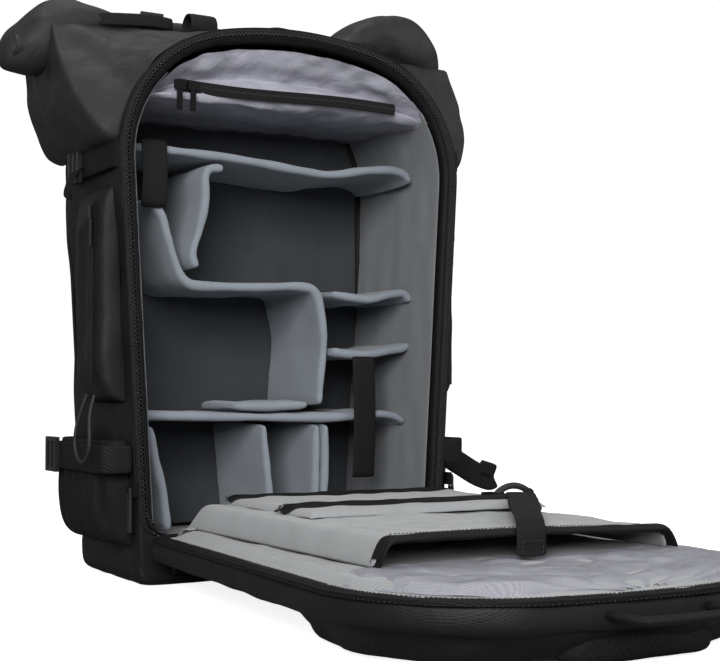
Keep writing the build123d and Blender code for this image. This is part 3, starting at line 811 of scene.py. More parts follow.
def liner():
    """Thin nylon bag that hangs from the rim's crown, in two soft lobes with a crease between them."""
    xs = np.linspace(-146, 146, 90)
    profile = [(-83, -3), (-79, -9), (-73, -17), (-63, -24), (-60, -29), (-66, -34), (-72, -40), (-72, -48),
               (-66, -56), (-54, -59), (-30, -60), (20, -58), (66, -56)]
    line = catmull(profile, 5)
    cx, cz = shoulder_centre()
    crown_z = TOP_Z - CROWN_R
    rows = []
    for x in xs:
        grow = -9.0
        if abs(x) < cx * CROWN_R / (CROWN_R - SHOULDER_R):
            top = crown_z + math.sqrt((CROWN_R + grow) ** 2 - x * x)
        else:
            top = cz + math.sqrt(max(0.0, (SHOULDER_R + grow) ** 2 - (abs(x) - cx) ** 2))
        drop = min(1.0, max(0.06, (top - 430) / 57.0))
        wave = 2.4 * math.sin(x / 17.0) + 1.8 * math.sin(x / 9.0 + 1)
        row = []
        for k, (y, dz) in enumerate(line):
            f = k / (len(line) - 1)
            sway = 5 * (x / 146.0) ** 2 + 5 * math.sin(x / 50.0 + 0.6)
            z = top + dz * drop + sway * (f > 0.3) * min(1, (f - 0.3) * 4)
            y2 = y + wave * math.sin(math.pi * min(1, f * 1.6)) * 0.8
            row.append((x, max(y2, -84), max(z, 431.5)))
        rows.append(row)
    verts, faces = grid(rows)
    obj = mesh_object("top_liner_cloth", verts, faces, M["nylon"])
    creases = [((-40, -78, 470), (-20, -70, 440), 7, -3.5), ((0, -80, 478), (25, -70, 452), 6, 3.5),
               ((60, -80, 470), (95, -66, 440), 7, -4.0), ((-100, -76, 460), (-60, -70, 452), 6, 3),
               ((35, -80, 445), (120, -60, 462), 7, -4.5), ((-120, -70, 444), (-80, -74, 440), 6, 2)]
    displace(obj, summed(wrinkles(22, 3.0, 2.5, (1, 1, 1.6)), wrinkles(9, 0.9, 7), folds(creases)))
    subdivide(obj)
    finish_piece(obj, "lining_nylon", "top_liner")
    line = [(x, -74.6 + 0.3 * math.sin(x / 20), 443 + 1.2 * math.sin(x / 33))
            for x in np.linspace(-118, 112, 70)]
    zip_line("liner_zip", line, (0, -1, 0), 11.0, "bag", "liner_zip")


# --- roll top ---

ROLL = [  # x, lowest z, highest z, half depth: the rolled fabric from its left tip to its right end
    (-250, 465, 482, 8), (-244, 461, 494, 16), (-230, 459, 510, 24), (-214, 460, 524, 30),
    (-195, 472, 529, 34),
    (-175, 490, 524, 37), (-136, 500, 516, 39), (-90, 501, 517, 40), (-40, 501, 518, 40), (20, 501, 519, 40),
    (64, 501, 521, 40), (91, 500, 527, 40), (108, 499, 541, 40), (127, 498, 552, 40), (150, 496, 559, 40),
    (176, 490, 561, 39), (193, 478, 550, 36), (204, 464, 537, 30), (211, 463, 522, 22), (215, 470, 512, 12),
]


def flap_edge(p):
    """The outer layer of the roll ends on a slanting line, left of the loop."""
    edge = -62.0 - (p[2] - 500.0) * 0.9
    return 1.6 / (1 + math.exp((p[0] - edge) / 1.2)) if p[1] < 20 else 0.0


def roll_bundle():
    rows = []
    stations = catmull(ROLL, 5)
    for x, low, high, deep in stations:
        ring = []
        for a in np.linspace(0, 2 * math.pi, 48, endpoint=False):
            c, s = math.cos(a), math.sin(a)
            y = deep * math.copysign(abs(c) ** 0.72, c)
            z = (high - low) / 2 * math.copysign(abs(s) ** 0.8, s)
            ring.append((x, 20 + y, (low + high) / 2 + z))
        rows.append(ring)
    verts, faces = grid(rows, wrap_col=True, cap=True)
    obj = mesh_object("roll_cloth", verts, faces, M["roll"])
    made = [((-236, -4, 500), (-140, -18, 508), 8, 2.6), ((-205, 0, 478), (-150, -16, 505), 7, -2.8),
            ((-240, 0, 478), (-190, -8, 505), 6, 2.4), ((90, -20, 512), (205, -6, 500), 9, -3.2),
            ((100, -12, 540), (200, -10, 520), 8, 2.8), ((120, 0, 552), (170, -18, 505), 7, 2.4),
            ((140, -10, 548), (210, 0, 480), 7, -2.6), ((70, -18, 508), (130, -16, 538), 6, -2.2),
            ((-90, -20, 506), (60, -20, 512), 5, -1.4), ((-60, 0, 519), (60, 20, 520), 8, 1.2)]
    displace(obj, summed(wrinkles(52, 3.6, 3, (0.6, 1, 1)), wrinkles(17, 1.5, 5), folds(made), flap_edge))
    finish_piece(subdivide(obj), "roll_fabric", "roll_bundle")


def roll_ends():
    """Wound layers that show at both ends of the roll, ragged and drooping."""
    for name, tip, way, layers in (("left", -246, -1, 4), ("right", 211, 1, 3)):
        parts = []
        for k in range(layers):
            out = tip - way * (4 + 9 * k)
            deep, high = 25 - 5 * k, 15 - 3.2 * k
            middle = 482 if way < 0 else 492
            rows = []
            for i, a in enumerate(np.linspace(-0.4 * math.pi, 1.35 * math.pi, 34)):
                ragged = 5.0 * noise.noise(Vector((i * 0.35, k * 2.3, way)))
                y = 20 + deep * math.cos(a)
                z = middle + k * 4 + high * math.sin(a) - (2 + k)
                rows.append([(out - way * 22, y, z), (out - way * 8, y, z),
                             (out + way * (1 + ragged), y * 0.99, z)])
            parts.append(grid(rows))
        verts, faces = join(parts)
        obj = mesh_object("roll_layers_" + name, verts, faces, M["roll"])
        displace(obj, wrinkles(14, 1.8, 11))
        finish_piece(subdivide(solid(obj, 1.0, 0)), "roll_fabric", "roll_end_flaps")


def roll_collar():
    """Fabric that rises from the shell's shoulders and crown to the flat roll, flaring over both sides."""
    low_z = 385.0
    crest = [p for p in outline(SHELL_OUT + 0.6, FOOT_Z, 400) if p[1] >= low_z]
    crest = resample(sorted(crest, key=lambda p: p[0]), 80)
    front = [(x, RIM_Y + 7, z) for x, z in crest]
    sides = [(crest[-1][0], y, low_z) for y in np.linspace(RIM_Y + 7, BACK_Y - 8, 26)[1:-1]]
    back = [(x, BACK_Y - 8, z) for x, z in reversed(crest)]
    left = [(crest[0][0], y, low_z) for y in np.linspace(BACK_Y - 8, RIM_Y + 7, 26)[1:-1]]
    bottom = front + sides + back + left
    top = [(x, -15, 504) for x in np.linspace(-215, 211, len(front))]
    top += [(211, y, 500) for y in np.linspace(-15, 56, len(sides) + 2)[1:-1]]
    top += [(x, 56, 504) for x in np.linspace(211, -215, len(back))]
    top += [(-215, y, 500) for y in np.linspace(56, -15, len(left) + 2)[1:-1]]
    rows = []
    for v in np.linspace(0, 1, 22):
        ring = []
        for (x0, y0, z0), (x1, y1, z1) in zip(bottom, top):
            reach = min(1.0, max(0.0, (abs(x1) - 120) / 90.0))
            wide = v ** (1 - 0.45 * reach)
            belly = 7.0 * math.sin(math.pi * v) * reach
            x = x0 + (x1 - x0) * wide + math.copysign(belly, x1)
            z = z0 + (z1 - z0) * v ** (1 + 0.25 * reach)
            y = y0 + (y1 - y0) * v ** 1.25
            ring.append((x, y, z))
        rows.append(ring)
    verts, faces = grid(rows, wrap_col=True)
    obj = mesh_object("roll_collar_cloth", verts, faces, M["roll"])
    made = []
    for s, e in ((-1, -232), (1, 226)):
        made += [((s * 168, -60, 392), (e * 0.92, -10, 480), 9, 3.4),
                 ((s * 172, -30, 392), (e * 0.93, 10, 470), 8, -3.4),
                 ((s * 150, -82, 425), (e * 0.9, -20, 490), 8, -3.0),
                 ((s * 125, -80, 455), (e * 0.86, -16, 500), 7, 2.8),
                 ((s * 174, 20, 400), (e * 0.94, 30, 480), 9, 3.0),
                 ((s * 160, -74, 408), (s * 190, -40, 440), 6, 2.4),
                 ((s * 90, -78, 478), (s * 150, -20, 502), 6, -2.0)]
    displace(obj, summed(wrinkles(38, 4.2, 6), wrinkles(15, 1.4, 12), folds(made)))
    subdivide(solid(obj, 1.2, 0))
    finish_piece(obj, "roll_fabric", "roll_collar")


def top_hardware():
    """Grab loop, strap along the roll, and the webbing of the roll's buckle."""
    c = Vector((-79, -38, 507.3))
    ring = [(c.x, c.y + 11 * math.cos(a), c.z + 11 * math.sin(a))
            for a in np.linspace(0, 2 * math.pi, 28, False)]
    verts, faces = sweep_section(ring, flat_section(27, 2.2), [tuple(Vector(p) - c) for p in ring],
                                 closed=True)
    loop = mesh_object("top_loop_webbing", verts, faces, M["webbing"], "top_loop")
    finish_piece(subdivide(loop), "webbing", "top_loop")
    path = [(-99, -21.5, 511), (-120, -22.5, 512), (-150, -21.5, 510), (-172, -19, 508)]
    verts, faces = webbing(path, 12, 2)
    strap = mesh_object("roll_strap", verts, faces, M["webbing"])
    finish_piece(subdivide(strap), "webbing", "top_strap")
    path = [(74, -22.6, 505), (74, -33, 500), (74, -52, 497.5), (74, -80, 497)]
    verts, faces = webbing(path, 11, 1.8, (1, 0, 0))
    base = mesh_object("roll_buckle_web", verts, faces, M["webbing"])
    finish_piece(subdivide(base), "webbing")
    tab = webbing([(84, -22.4, 513.5), (108, -22.4, 513), (109.5, -23.6, 513), (108, -24.6, 513),
                   (98, -24.4, 513.4)],
                  11, 1.6)
    web = mesh_object("roll_buckle_tab", *tab, M["webbing"])
    finish_piece(web, "webbing")


# --- sides of the bag ---

def side_x(z, out=0.0):
    cx, cz = shoulder_centre()
    if z < cz:
        return half_width(z, SHELL_OUT + out)
    return cx + math.sqrt(max(0.0, (SHOULDER_R + SHELL_OUT + out) ** 2 - (z - cz) ** 2))


def side_patch(name, side, y, z, depth, mat, slot, node, height=None, power=7, open_top=False, detail=46):
    """A pocket on the side: it swells from the shell and its edges are drawn in."""
    rows = []
    for i in range(detail + 1):
        v = i / detail * 2 - 1
        zz = (z[0] + z[1]) / 2 + v * (z[1] - z[0]) / 2
        row = []
        for j in range(detail + 1):
            u = j / detail * 2 - 1
            yy = (y[0] + y[1]) / 2 + u * (y[1] - y[0]) / 2
            lift = (1 - abs(u) ** power)
            lift *= (1 - abs(min(v, 0.0)) ** power) if open_top else (1 - abs(v) ** power)
            x = side_x(zz) - 1.0 + depth(zz) * max(0.0, lift) ** 0.45
            row.append((side * x, yy, zz))
        rows.append(row)
    verts, faces = grid(rows)
    obj = mesh_object(name, verts, faces, M[mat])
    if side > 0:
        obj.data.flip_normals()
    if height:
        displace(obj, height)
    subdivide(solid(obj, 1.3, -1))
    return finish_piece(obj, slot, *node)


def sides():
    for side, name in ((-1, "left"), (1, "right")):
        nodes = ("side_pockets",)
        made = [((side * 185, -62, 335), (side * 185, -10, 300), 9, -2.2),
                ((side * 185, -50, 170), (side * 185, -8, 215), 9, 2.2),
                ((side * 185, -30, 180), (side * 185, -36, 330), 8, 1.4)]
        side_patch("side_pocket_" + name, side, (-70, -1), (158, 351), lambda z: 187 - side_x(z), "shell",
                   "shell_fabric", nodes, summed(wrinkles(34, 1.8, side + 5), folds(made)))
        line = [(side * 187.6, -56.5, z) for z in np.linspace(176, 335, 60)]
        verts, faces = coil(line, (side, 0, 0), 3.4, 1.9)
        finish_piece(mesh_object("side_zip_coil_" + name, verts, faces, M["teeth"]), "zip_tape")

        def gather(p):
            pleat = 1.7 * math.sin(p[1] / 3.4 + 1.2 * math.sin(p[2] / 21))
            return pleat * min(1.0, (p[2] - 34) / 24) + 1.3 * noise.noise(Vector((p[1] / 9, p[2] / 30, side)))

        nodes = ("bottle_pockets",)
        side_patch("bottle_pocket_" + name, side, (-70, 62), (34, 121),
                   lambda z: 182 - side_x(z) + 3 * math.sin((z - 34) / 28),
                   "stretch", "stretch_mesh", nodes, gather, 5, True, 56)
        hem = [(side * (side_x(120) - 1 + (183 - side_x(120)) * max(0.0, 1 - abs(u) ** 5) ** 0.45),
                -4 + 66 * u, 121)
               for u in np.linspace(-1, 1, 60)]
        verts, faces = sweep_section(hem, [(a * 0.45, b * 1.3) for a, b in round_section(4.0, 10)])
        finish_piece(subdivide(mesh_object("bottle_hem_" + name, verts, faces, M["webbing"])), "webbing")
        seam = [(side * (side_x(z) + 1.4), y, z) for y, z in
                [(4, 350), (4, 330), (5, 260), (4, 190), (5, 130)]]
        verts, faces = stitch_row(seam, (side, 0, 0))
        finish_piece(mesh_object("side_seam_" + name, verts, faces, M["thread"], smooth=False), "webbing")
        upper = [(side * 171, -85, 376), (side * 177, -78, 375.5), (side * 179, -50, 375),
                 (side * 178.6, 0, 375),
                 (side * 178.4, 26, 375.5), (side * 174, 33, 376)]
        lower = [(side * 160, -85, 110), (side * 180, -82, 110), (side * 188, -72, 110.4),
                 (side * 188.4, -20, 110.5),
                 (side * 188.2, 52, 110.5), (side * 184, 66, 110), (side * 163, 70, 109)]
        parts = join([webbing(upper, 25, 2), webbing(lower, 25, 2)])
        strap = mesh_object("side_straps_" + name, *parts, M["webbing"])
        displace(strap, wrinkles(18, 0.7, 2))
        nodes = ("side_straps",)
        finish_piece(subdivide(strap), "webbing", *nodes)
        short = webbing([(side * 181, 4, 372), (side * 187, 2, 366), (side * 191, 4, 352),
                         (side * 190, 6, 344)], 22, 1.8,
                        (0, 1, 0))
        finish_piece(subdivide(mesh_object("strap_end_" + name, *short, M["webbing"])), "webbing")
    tail = [(190, -20, 112), (204, -20, 104), (224, -20, 93), (244, -20, 82), (262, -20, 76),
            (268, -20, 76.5),
            (267, -20, 79.5), (256, -20, 82.5), (246, -20, 85.5)]
    obj = mesh_object("loose_strap_right", *webbing(tail, 25, 2), M["webbing"])
    finish_piece(subdivide(obj), "webbing")
    rim_end = [(170, -87.5, 397), (175, -87.0, 396), (179, -82, 395.5), (181.5, -68, 395)]
    obj = mesh_object("upper_strap_end_right", *webbing(rim_end, 20, 2), M["webbing"])
    finish_piece(subdivide(obj), "webbing")


def inner_straps():
    for name, x, z0, z1 in (("left", -127, 337, 396), ("right", 92.5, 87, 200)):
        y = DIVIDER_FRONT - 3.5
        path = [(x, y + 3, z1 + 2), (x, y, z1 - 2), (x + 0.6, y - 1.6, (z0 + z1) / 2), (x, y, z0 + 2),
                (x, y + 3, z0 - 2)]
        obj = mesh_object("inner_strap_" + name + "_web", *webbing(path, 25, 2, (1, 0, 0)), M["webbing"])
        finish_piece(subdivide(obj), "webbing", "inner_strap_" + name)


def cord_loop():
    route = [(-188.9, -48, 166), (-193.5, -46, 152), (-196.0, -40, 137), (-196.5, -38, 122),
             (-196.5, -46, 110),
             (-196.5, -59, 106), (-196.5, -71, 111), (-196.5, -78, 123), (-196.0, -75, 138),
             (-193.5, -69, 152),
             (-188.9, -67, 165)]
    data = bpy.data.curves.new("pocket_cord_curve", "CURVE")
    data.dimensions = "3D"
    data.bevel_depth, data.bevel_resolution, data.use_fill_caps = 1.5 * MM, 4, True
    line = data.splines.new("NURBS")
    line.points.add(len(route) - 1)
    for point, at in zip(line.points, route):
        point.co = (at[0] * MM, at[1] * MM, at[2] * MM, 1)
    line.order_u, line.use_endpoint_u, line.resolution_u = 3, True, 10
    data.materials.append(M["cord"])
    obj = bpy.data.objects.new("pocket_cord_loop", data)
    bpy.context.scene.collection.objects.link(obj)
    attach(obj, "bag")
    finish_piece(obj, "elastic_cord", "pocket_cord")


# --- back panel ---

def ring_at(grow, z, count=220, low=PANEL_START):
    return lying(outline(grow, low, count), z)


def panel():
    rows = [ring_at(g, z) for g, z in ((-150, 23), (-60, 22.4), (-14, 22.2), (-2, 22.6), (4.5, 25),
                                       (6.6, 30), (6.8, 36),
                                       (6.0, 41), (4.0, 43.5), (-1, 43.8))]
    rows[0] = [(p[0] * 0.1, -330 + (p[1] + 330) * 0.1, 22.4) for p in rows[1]]
    verts, faces = grid(rows, wrap_col=True)
    obj = mesh_object("panel_cover", verts, faces, M["shell"], "panel")
    displace(obj, summed(wrinkles(40, 1.6, 4), wrinkles(13, 0.5, 8)))
    finish_piece(subdivide(obj), "shell_fabric", "panel_shell")
    line = outline(-1.2, PANEL_START, 300)
    edge = []
    for x, h in line:
        wave = 0.9 * noise.noise(Vector((x / 24, h / 24, 4.0)))
        edge.append((x * (1 + wave / 170), PANEL_SHIFT - h, 42.6 + 0.6 * wave))
    section = [(a * 1.55, b * 0.62) for a, b in round_section(5.2, 14)]
    verts, faces = sweep_section(edge, section, closed=True)
    obj = mesh_object("panel_rim_binding", verts, faces, M["binding"], "panel")
    displace(obj, wrinkles(11, 0.7, 5))
    finish_piece(subdivide(obj), "webbing")
    edge = lying(outline(-5.4, PANEL_START, 300), 45.2)
    verts, faces = stitch_row(edge + edge[:1], (0, 0, 1))
    finish_piece(mesh_object("panel_rim_stitches", verts, faces, M["thread"], "panel", smooth=False),
                 "webbing")
    coil_line = [(x, PANEL_SHIFT - h, 42.6) for x, h in outline(SHELL_OUT + 1.2, 52, 420, closed=False)]
    verts, faces = coil(coil_line, (0, 0, 1), 3.0, 1.9)
    finish_piece(mesh_object("panel_zip_coil", verts, faces, M["teeth"], "panel"), "zip_tape")
    rows = [ring_at(g, z, low=low) for g, z, low in
            ((-4, 43.6, 38), (-8, 44.8, 46), (-11, 47.6, 54), (-15, 50.6, 58), (-22, 51.8, 64))]
    last = np.array(rows[-1])
    for f in np.linspace(0.9, 0.02, 16):
        ring = np.array([0, -330, 0]) + (last - np.array([0, -330, 0])) * np.array([f, f, 1])
        rows.append([tuple(p) for p in ring])
    verts, faces = grid(rows, wrap_col=True)
    obj = mesh_object("panel_lining_felt", verts, faces, M["felt_light"], "panel")
    displace(obj, summed(wrinkles(48, 1.8, 7), wrinkles(16, 0.6, 3)))
    finish_piece(subdivide(obj), "lining_felt", "panel_lining")


def hinge_fabric():
    """Lining that runs from the bag's floor over the fold onto the open panel."""
    profile = catmull([(-74, 37.0), (-86, 37.0), (-94, 35.0), (-104, 34.6), (-113, 38), (-124, 46),
                       (-134, 52.3),
                       (-146, 53.0)], 6)
    rows = []
    for y, z in profile:
        rows.append([(x, y, z + 0.9 * math.sin(x / 13.0)
                      * math.sin(math.pi * min(1, max(0, (-y - 76) / 70)))) for x in
                     np.linspace(-134, 134, 70)])
    verts, faces = grid(rows)
    obj = mesh_object("hinge_lining", verts, faces, M["felt_light"], None)
    displace(obj, summed(wrinkles(26, 1.6, 3), wrinkles(9, 0.5, 9)))
    bake(subdivide(solid(obj, 1.6, 0)))
    finish_piece(obj, "lining_felt")
    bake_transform(obj)


def height_sheet(x, y, height, columns=70, rows=70):
    return grid([[(xx, yy, height(xx, yy)) for xx in np.linspace(x[0], x[1], columns)]
                 for yy in np.linspace(y[0], y[1], rows)])


def edge_fall(value, low, high, width):
    """0 at either end of a range, 1 beyond a width from it, rounded."""
    d = min(value - low, high - value)
    return math.sin(min(1.0, max(0.0, d / width)) * math.pi / 2) ** 0.7


def sleeve():
    def top(x, y):
        sag = 3.5 * min(1.0, max(0.0, (x + 10) / 120)) * min(1.0, max(0.0, (-y - 150) / 80))
        return 52.6 + (20.6 - sag) * edge_fall(x, -128, 128, 10) * min(1.0, edge_fall(y, -700, -126, 26))
    verts, faces = height_sheet((-128, 128), (-440, -126), top)
    obj = mesh_object("laptop_sleeve_felt", verts, faces, M["felt_light"], "panel")
    made = [((-120, -300, 60), (-60, -420, 74), 12, 1.4), ((40, -320, 74), (118, -430, 66), 10, -1.6),
            ((-100, -180, 74), (100, -170, 74), 9, 1.4)]
    displace(obj, summed(wrinkles(40, 1.8, 6), wrinkles(14, 0.6, 2), folds(made)))
    finish_piece(subdivide(solid(obj, 2.4)), "lining_felt", "laptop_sleeve")
    mouth = [(x, top(x, -440) - 0.4) for x in np.linspace(-127, 127, 60)]
    rows = []
    for y, lift in ((-434, 0.4), (-437, 1.6), (-444, 1.9), (-449, 0.8), (-450.5, -1.6), (-448, -3.8),
                    (-442, -4.2),
                    (-434, -3.9)):
        rows.append([(x * 1.003, y + 0.8 * math.sin(x / 14), z + lift) for x, z in mouth])
    verts, faces = grid(rows, wrap_row=True)
    obj = mesh_object("sleeve_mouth_band", verts, faces, M["webbing"], "panel")
    displace(obj, wrinkles(20, 0.9, 4))
    finish_piece(subdivide(obj), "webbing")
    seam = [(x, -431.0, z + 0.9) for x, z in mouth[4:-4]]
    verts, faces = stitch_row(seam, (0, 0, 1))
    finish_piece(mesh_object("sleeve_mouth_stitches", verts, faces, M["thread"], "panel", smooth=False),
                 "webbing")


def zip_pocket():
    def top(x, y):
        zip_dip = -1.2 * math.exp(-((y + 253) / 5.0) ** 2)
        return 73.6 + 5.4 * edge_fall(x, -100, 122, 9) * edge_fall(y, -300, -146, 9) + zip_dip
    verts, faces = height_sheet((-100, 122), (-300, -146), top, 80, 70)
    obj = mesh_object("zip_pocket_cloth", verts, faces, M["felt_light"], "panel")
    made = [((-80, -160, 79), (60, -235, 79), 9, 1.2), ((-60, -230, 79), (90, -170, 79), 8, -1.2)]
    displace(obj, summed(wrinkles(26, 1.4, 9), folds(made)))
    finish_piece(subdivide(solid(obj, 1.4)), "lining_felt", "panel_pocket")
    for name, y0, x0, x1, bend, wide in (("inner", -150, -96, 120, 5, 15), ("outer", -253, -100, 126, 7, 19)):
        def middle(x):
            return y0 - bend * math.sin(math.pi
                                        * min(1.0, max(0.0, (x - x0) / (x1 - x0)))) + 0.8 * math.sin(x / 17)
        rows = []
        for x in np.linspace(x0 - 4, x1, 90):
            thin = min(1.0, 0.35 + (x - x0 + 4) / 30)
            z = max(top(x, y0), 73.0) + 1.8
            rows.append([(x, middle(x) + f * wide * thin, z + h) for f, h in
                         ((-1, -1.0), (-0.92, 0.2), (-0.3, 0.9), (0.2, 0.9), (0.5, 0.4), (0.56, -0.6))])
        tape = mesh_object("pocket_zip_tape_" + name, *grid(rows), M["zip"], "panel")
        displace(tape, wrinkles(16, 0.9, wide))
        finish_piece(subdivide(solid(tape, 0.8)), "zip_tape")
        line = [(x, middle(x) + 0.62 * wide, max(top(x, y0), 73.0) + 1.6)
                for x in np.linspace(x0, x1 - 8, 110)]
        finish_piece(mesh_object("pocket_zip_coil_" + name, *coil(line, (0, 0, 1), 5.0, 2.6), M["teeth"],
                                 "panel"),
                     "zip_tape")
    tab = webbing([(112, -262, 79.6), (120, -262.5, 79.0), (130, -263, 77.4), (139, -263.5, 75.4)], 12, 1.6,
                  (0, 1, 0))
    finish_piece(subdivide(mesh_object("pocket_zip_tab", *tab, M["webbing"], "panel")), "webbing")
    ring = [(131 + 4.2 * math.cos(a), -263, 81.0 + 4.2 * math.sin(a))
            for a in np.linspace(0, 2 * math.pi, 20, False)]
    finish_piece(tube("pocket_zip_ring", ring, 0.9, M["metal"], "panel", closed=True, up=(0, 1, 0)),
                 "zip_metal")


def strap_over_sleeve():
    path = [(128, -254, 81.4), (110, -280, 82.0), (60, -351, 82.4), (10, -422, 82.0), (-4, -443, 80.6),
            (-8, -450.5, 76),
            (-9, -452.4, 68), (-9, -452.6, 58), (-9, -454, 55.2)]
    d = Vector((-137, -195, 0)).normalized()
    across = Vector((d.y, -d.x, 0))
    up = [(0, 0, 1)] * 60 + [tuple(Vector((0, -0.7, 0.7)))] * 8 + [(0, -1, 0)] * 20
    line = resample(path, 88)
    rows = []
    section = flat_section(25, 2.0)
    for k, p in enumerate(line):
        u = Vector(up[k]).normalized()
        s = across.lerp(Vector((-1, 0, 0)), min(1.0, max(0.0, (k - 52) / 16))).normalized()
        rows.append([Vector(p) + s * a + u * b for a, b in section])
    verts, faces = grid(rows, wrap_col=True, cap=True)
    obj = mesh_object("sleeve_strap_web", verts, faces, M["webbing"], "sleeve_strap")
    displace(obj, wrinkles(22, 0.6, 3))
    finish_piece(subdivide(obj), "webbing", "sleeve_strap")
    box = [tuple(Vector((-9, -453.8, 61)) + Vector((x, 0, z))) for x,
           z in ((-9, -5), (9, -5), (9, 5), (-9, 5), (-9, -5))]
    verts, faces = stitch_row(box, (0, -1, 0))
    finish_piece(mesh_object("sleeve_strap_stitches", verts, faces, M["thread"], "sleeve_strap",
                             smooth=False), "webbing")


def panel_nylon():
    """Thin crinkled lining beyond the sleeve's mouth."""
    rows = []
    ring = [p for p in outline(-9, PANEL_START, 500) if PANEL_SHIFT - p[1] < -436]
    edge = sorted(ring, key=lambda p: p[1])
    top_h = max(p[1] for p in edge)
    for h in np.linspace(PANEL_SHIFT + 437, top_h - 0.6, 34):
        half = np.interp(h, [p[1] for p in edge], [abs(p[0]) for p in edge])
        rows.append([(x * half, PANEL_SHIFT - h,
                      46.0 + 7.0 * min(1.0, (1 - abs(x)) * half / 14, (top_h - h) / 14)
                      + 1.6 * abs(math.sin(x * 9 + h / 15)) * (1 - abs(x) ** 6))
                      for x in np.linspace(-1, 1, 60)])
    verts, faces = grid(rows)
    obj = mesh_object("panel_nylon_lining", verts, faces, M["nylon_panel"], "panel")
    made = [((-120, -470, 53), (-20, -540, 53), 7, 2.4), ((20, -460, 53), (90, -530, 53), 8, -2.2),
            ((-60, -455, 53), (60, -470, 53), 6, 2.0), ((-20, -545, 53), (90, -500, 53), 6, 2.2)]
    displace(obj, summed(wrinkles(20, 1.8, 3), wrinkles(8, 0.6, 9), folds(made)))
    subdivide(obj)
    finish_piece(obj, "lining_nylon", "sleeve_lining")


# --- harness under the panel ---

def harness_skirt():
    """Loose fabric of the harness that sags to the floor round the panel's free end."""
    ring = [p for p in outline(0, PANEL_START, 400) if PANEL_SHIFT - p[1] < -330]
    ring = resample(sorted(ring, key=lambda p: math.atan2(p[0], p[1] - 225)), 110)
    rows = []
    for k, (inward, z) in enumerate(((-1, 27), (4, 22), (9, 16), (14, 10), (20, 5), (28, 2.4), (44, 2.0),
                                     (58, 2.2))):
        row = []
        for i, (x, h) in enumerate(ring):
            away = Vector((x, h - 250)).normalized()
            end = min(1.0, min(i, len(ring) - 1 - i) / 12)
            loose = 5.0 * noise.noise(Vector((i * 0.16, k * 0.35, 2.0))) * (k > 0)
            deep = inward + loose + 16 * (1 - end) * (k > 1)
            low = z + (27 - z) * (1 - end) * 0.8
            row.append((x - away.x * deep, PANEL_SHIFT - (h - away.y * deep), max(low, 1.8)))
        rows.append(row)
    obj = mesh_object("harness_skirt_cloth", *grid(rows), M["shell"], "panel")
    displace(obj, summed(wrinkles(30, 2.0, 13), wrinkles(12, 0.9, 4)))
    co = np.array([v.co[:] for v in obj.data.vertices])
    co[:, 2] = np.maximum(co[:, 2], 1.2 * MM)
    obj.data.vertices.foreach_set("co", co.ravel())
    obj.data.update()
    finish_piece(subdivide(solid(obj, 1.2, 0)), "shell_fabric")



def pad_piece(name, x, y, z, body, nodes, mat="mesh", slot="harness_mesh", corner=16.0, seed=0.0):
    obj = padded_block(name, x, y, z, M[mat], body, corner)
    inflate(obj, voxel=5.0, cap=3.0)
    floor = z[0] * MM
    co = np.array([v.co[:] for v in obj.data.vertices])
    co[:, 2] = np.clip(co[:, 2], floor, z[1] * MM + 0.001)
    obj.data.vertices.foreach_set("co", co.ravel())
    obj.data.update()
    displace(obj, lambda p: 0.7 * noise.noise(Vector(p) / 18 + Vector((seed, 0, 0)))
             if p[2] > z[0] + 1 else 0.0)
    subdivide(obj)
    return finish_piece(obj, slot, *nodes)


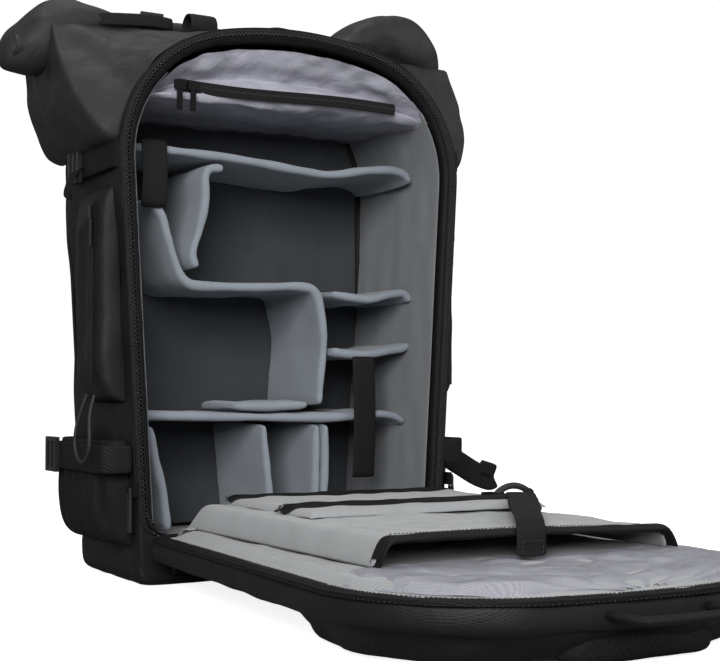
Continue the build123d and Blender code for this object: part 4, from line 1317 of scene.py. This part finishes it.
def harness():
    harness_skirt()
    for side, name in ((-1, "left"), (1, "right")):
        xs = sorted((side * 14, side * 108))
        pad_piece("back_column_" + name, xs, (-520, -216), (11.4, 23), "panel", ("back_pads",), seed=side)
    pad_piece("lumbar_pad", (-96, 96), (-204, -112), (11.4, 23), "panel", ("back_pads",), seed=3)
    pad_piece("yoke_pad", (-66, 66), (-565, -528), (0.2, 22.4), "panel", ("yoke",), seed=4)
    for side, name in ((-1, "left"), (1, "right")):
        body = "shoulder_strap_" + name
        xs = sorted((side * 20, side * 92))
        pad_piece(body + "_pad", xs, (-522, -250), (0.3, 11.2), body, (body,), corner=24, seed=5 + side)
        c = side * 60.5
        path = [(c, -262, 8.4), (c, -250, 5.5), (c, -236, 3.0), (c, -210, 2.0)]
        piece = mesh_object(body + "_web", *webbing(path, 25, 1.8, (1, 0, 0)), M["webbing"], body)
        finish_piece(subdivide(piece), "webbing")
        edge = [(side * 24, -515, 11.6), (side * 24, -258, 11.6)]
        piece = mesh_object(body + "_stitches", *stitch_row(edge, (0, 0, 1)), M["thread"], body, smooth=False)
        finish_piece(piece, "webbing")
    for name, x in (("hip_wing_left", (-98, 62)), ("hip_wing_right", (98, 262))):
        pad_piece(name + "_pad", x, (-175, -108), (0.3, 11.2), name, (name,), corner=22, seed=8)
    arch = [(224 + 30 * math.cos(a), -112.5, 46 + 30 * math.sin(a)) for a in np.linspace(0, math.pi, 26)]
    arch = [(254, -112.5, 8), (254, -112.5, 24)] + arch + [(194, -112.5, 24), (194, -112.5, 8)]
    obj = tube("hip_wing_loop", [tuple(p) for p in resample(arch, 44)], 3.6, M["cord"], "hip_wing_right",
               up=(0, 1, 0))
    finish_piece(subdivide(obj), "webbing")
    path = [(-40, -572, 34), (-40, -588, 34), (-37, -597, 34), (-30, -600.5, 34), (0, -601, 33.6),
            (30, -600.5, 34),
            (37, -597, 34), (40, -588, 34), (40, -572, 34)]
    line = [tuple(p) for p in resample(catmull(path, 8), 60)]
    verts, faces = sweep_section(line, [(a * 0.8, b * 0.5) for a, b in round_section(6.4, 12)])
    obj = mesh_object("haul_handle_pad", verts, faces, M["webbing"], "haul_handle")
    finish_piece(subdivide(obj), "webbing", "haul_handle")


def main():
    camera()
    studio()
    cord_loop()
    shell()
    boot()
    rim()
    wall_linings()
    back_and_floor()
    dividers()
    liner()
    roll_bundle()
    roll_ends()
    roll_collar()
    top_hardware()
    sides()
    inner_straps()
    panel()
    hinge_fabric()
    sleeve()
    zip_pocket()
    strap_over_sleeve()
    panel_nylon()
    harness()


main()
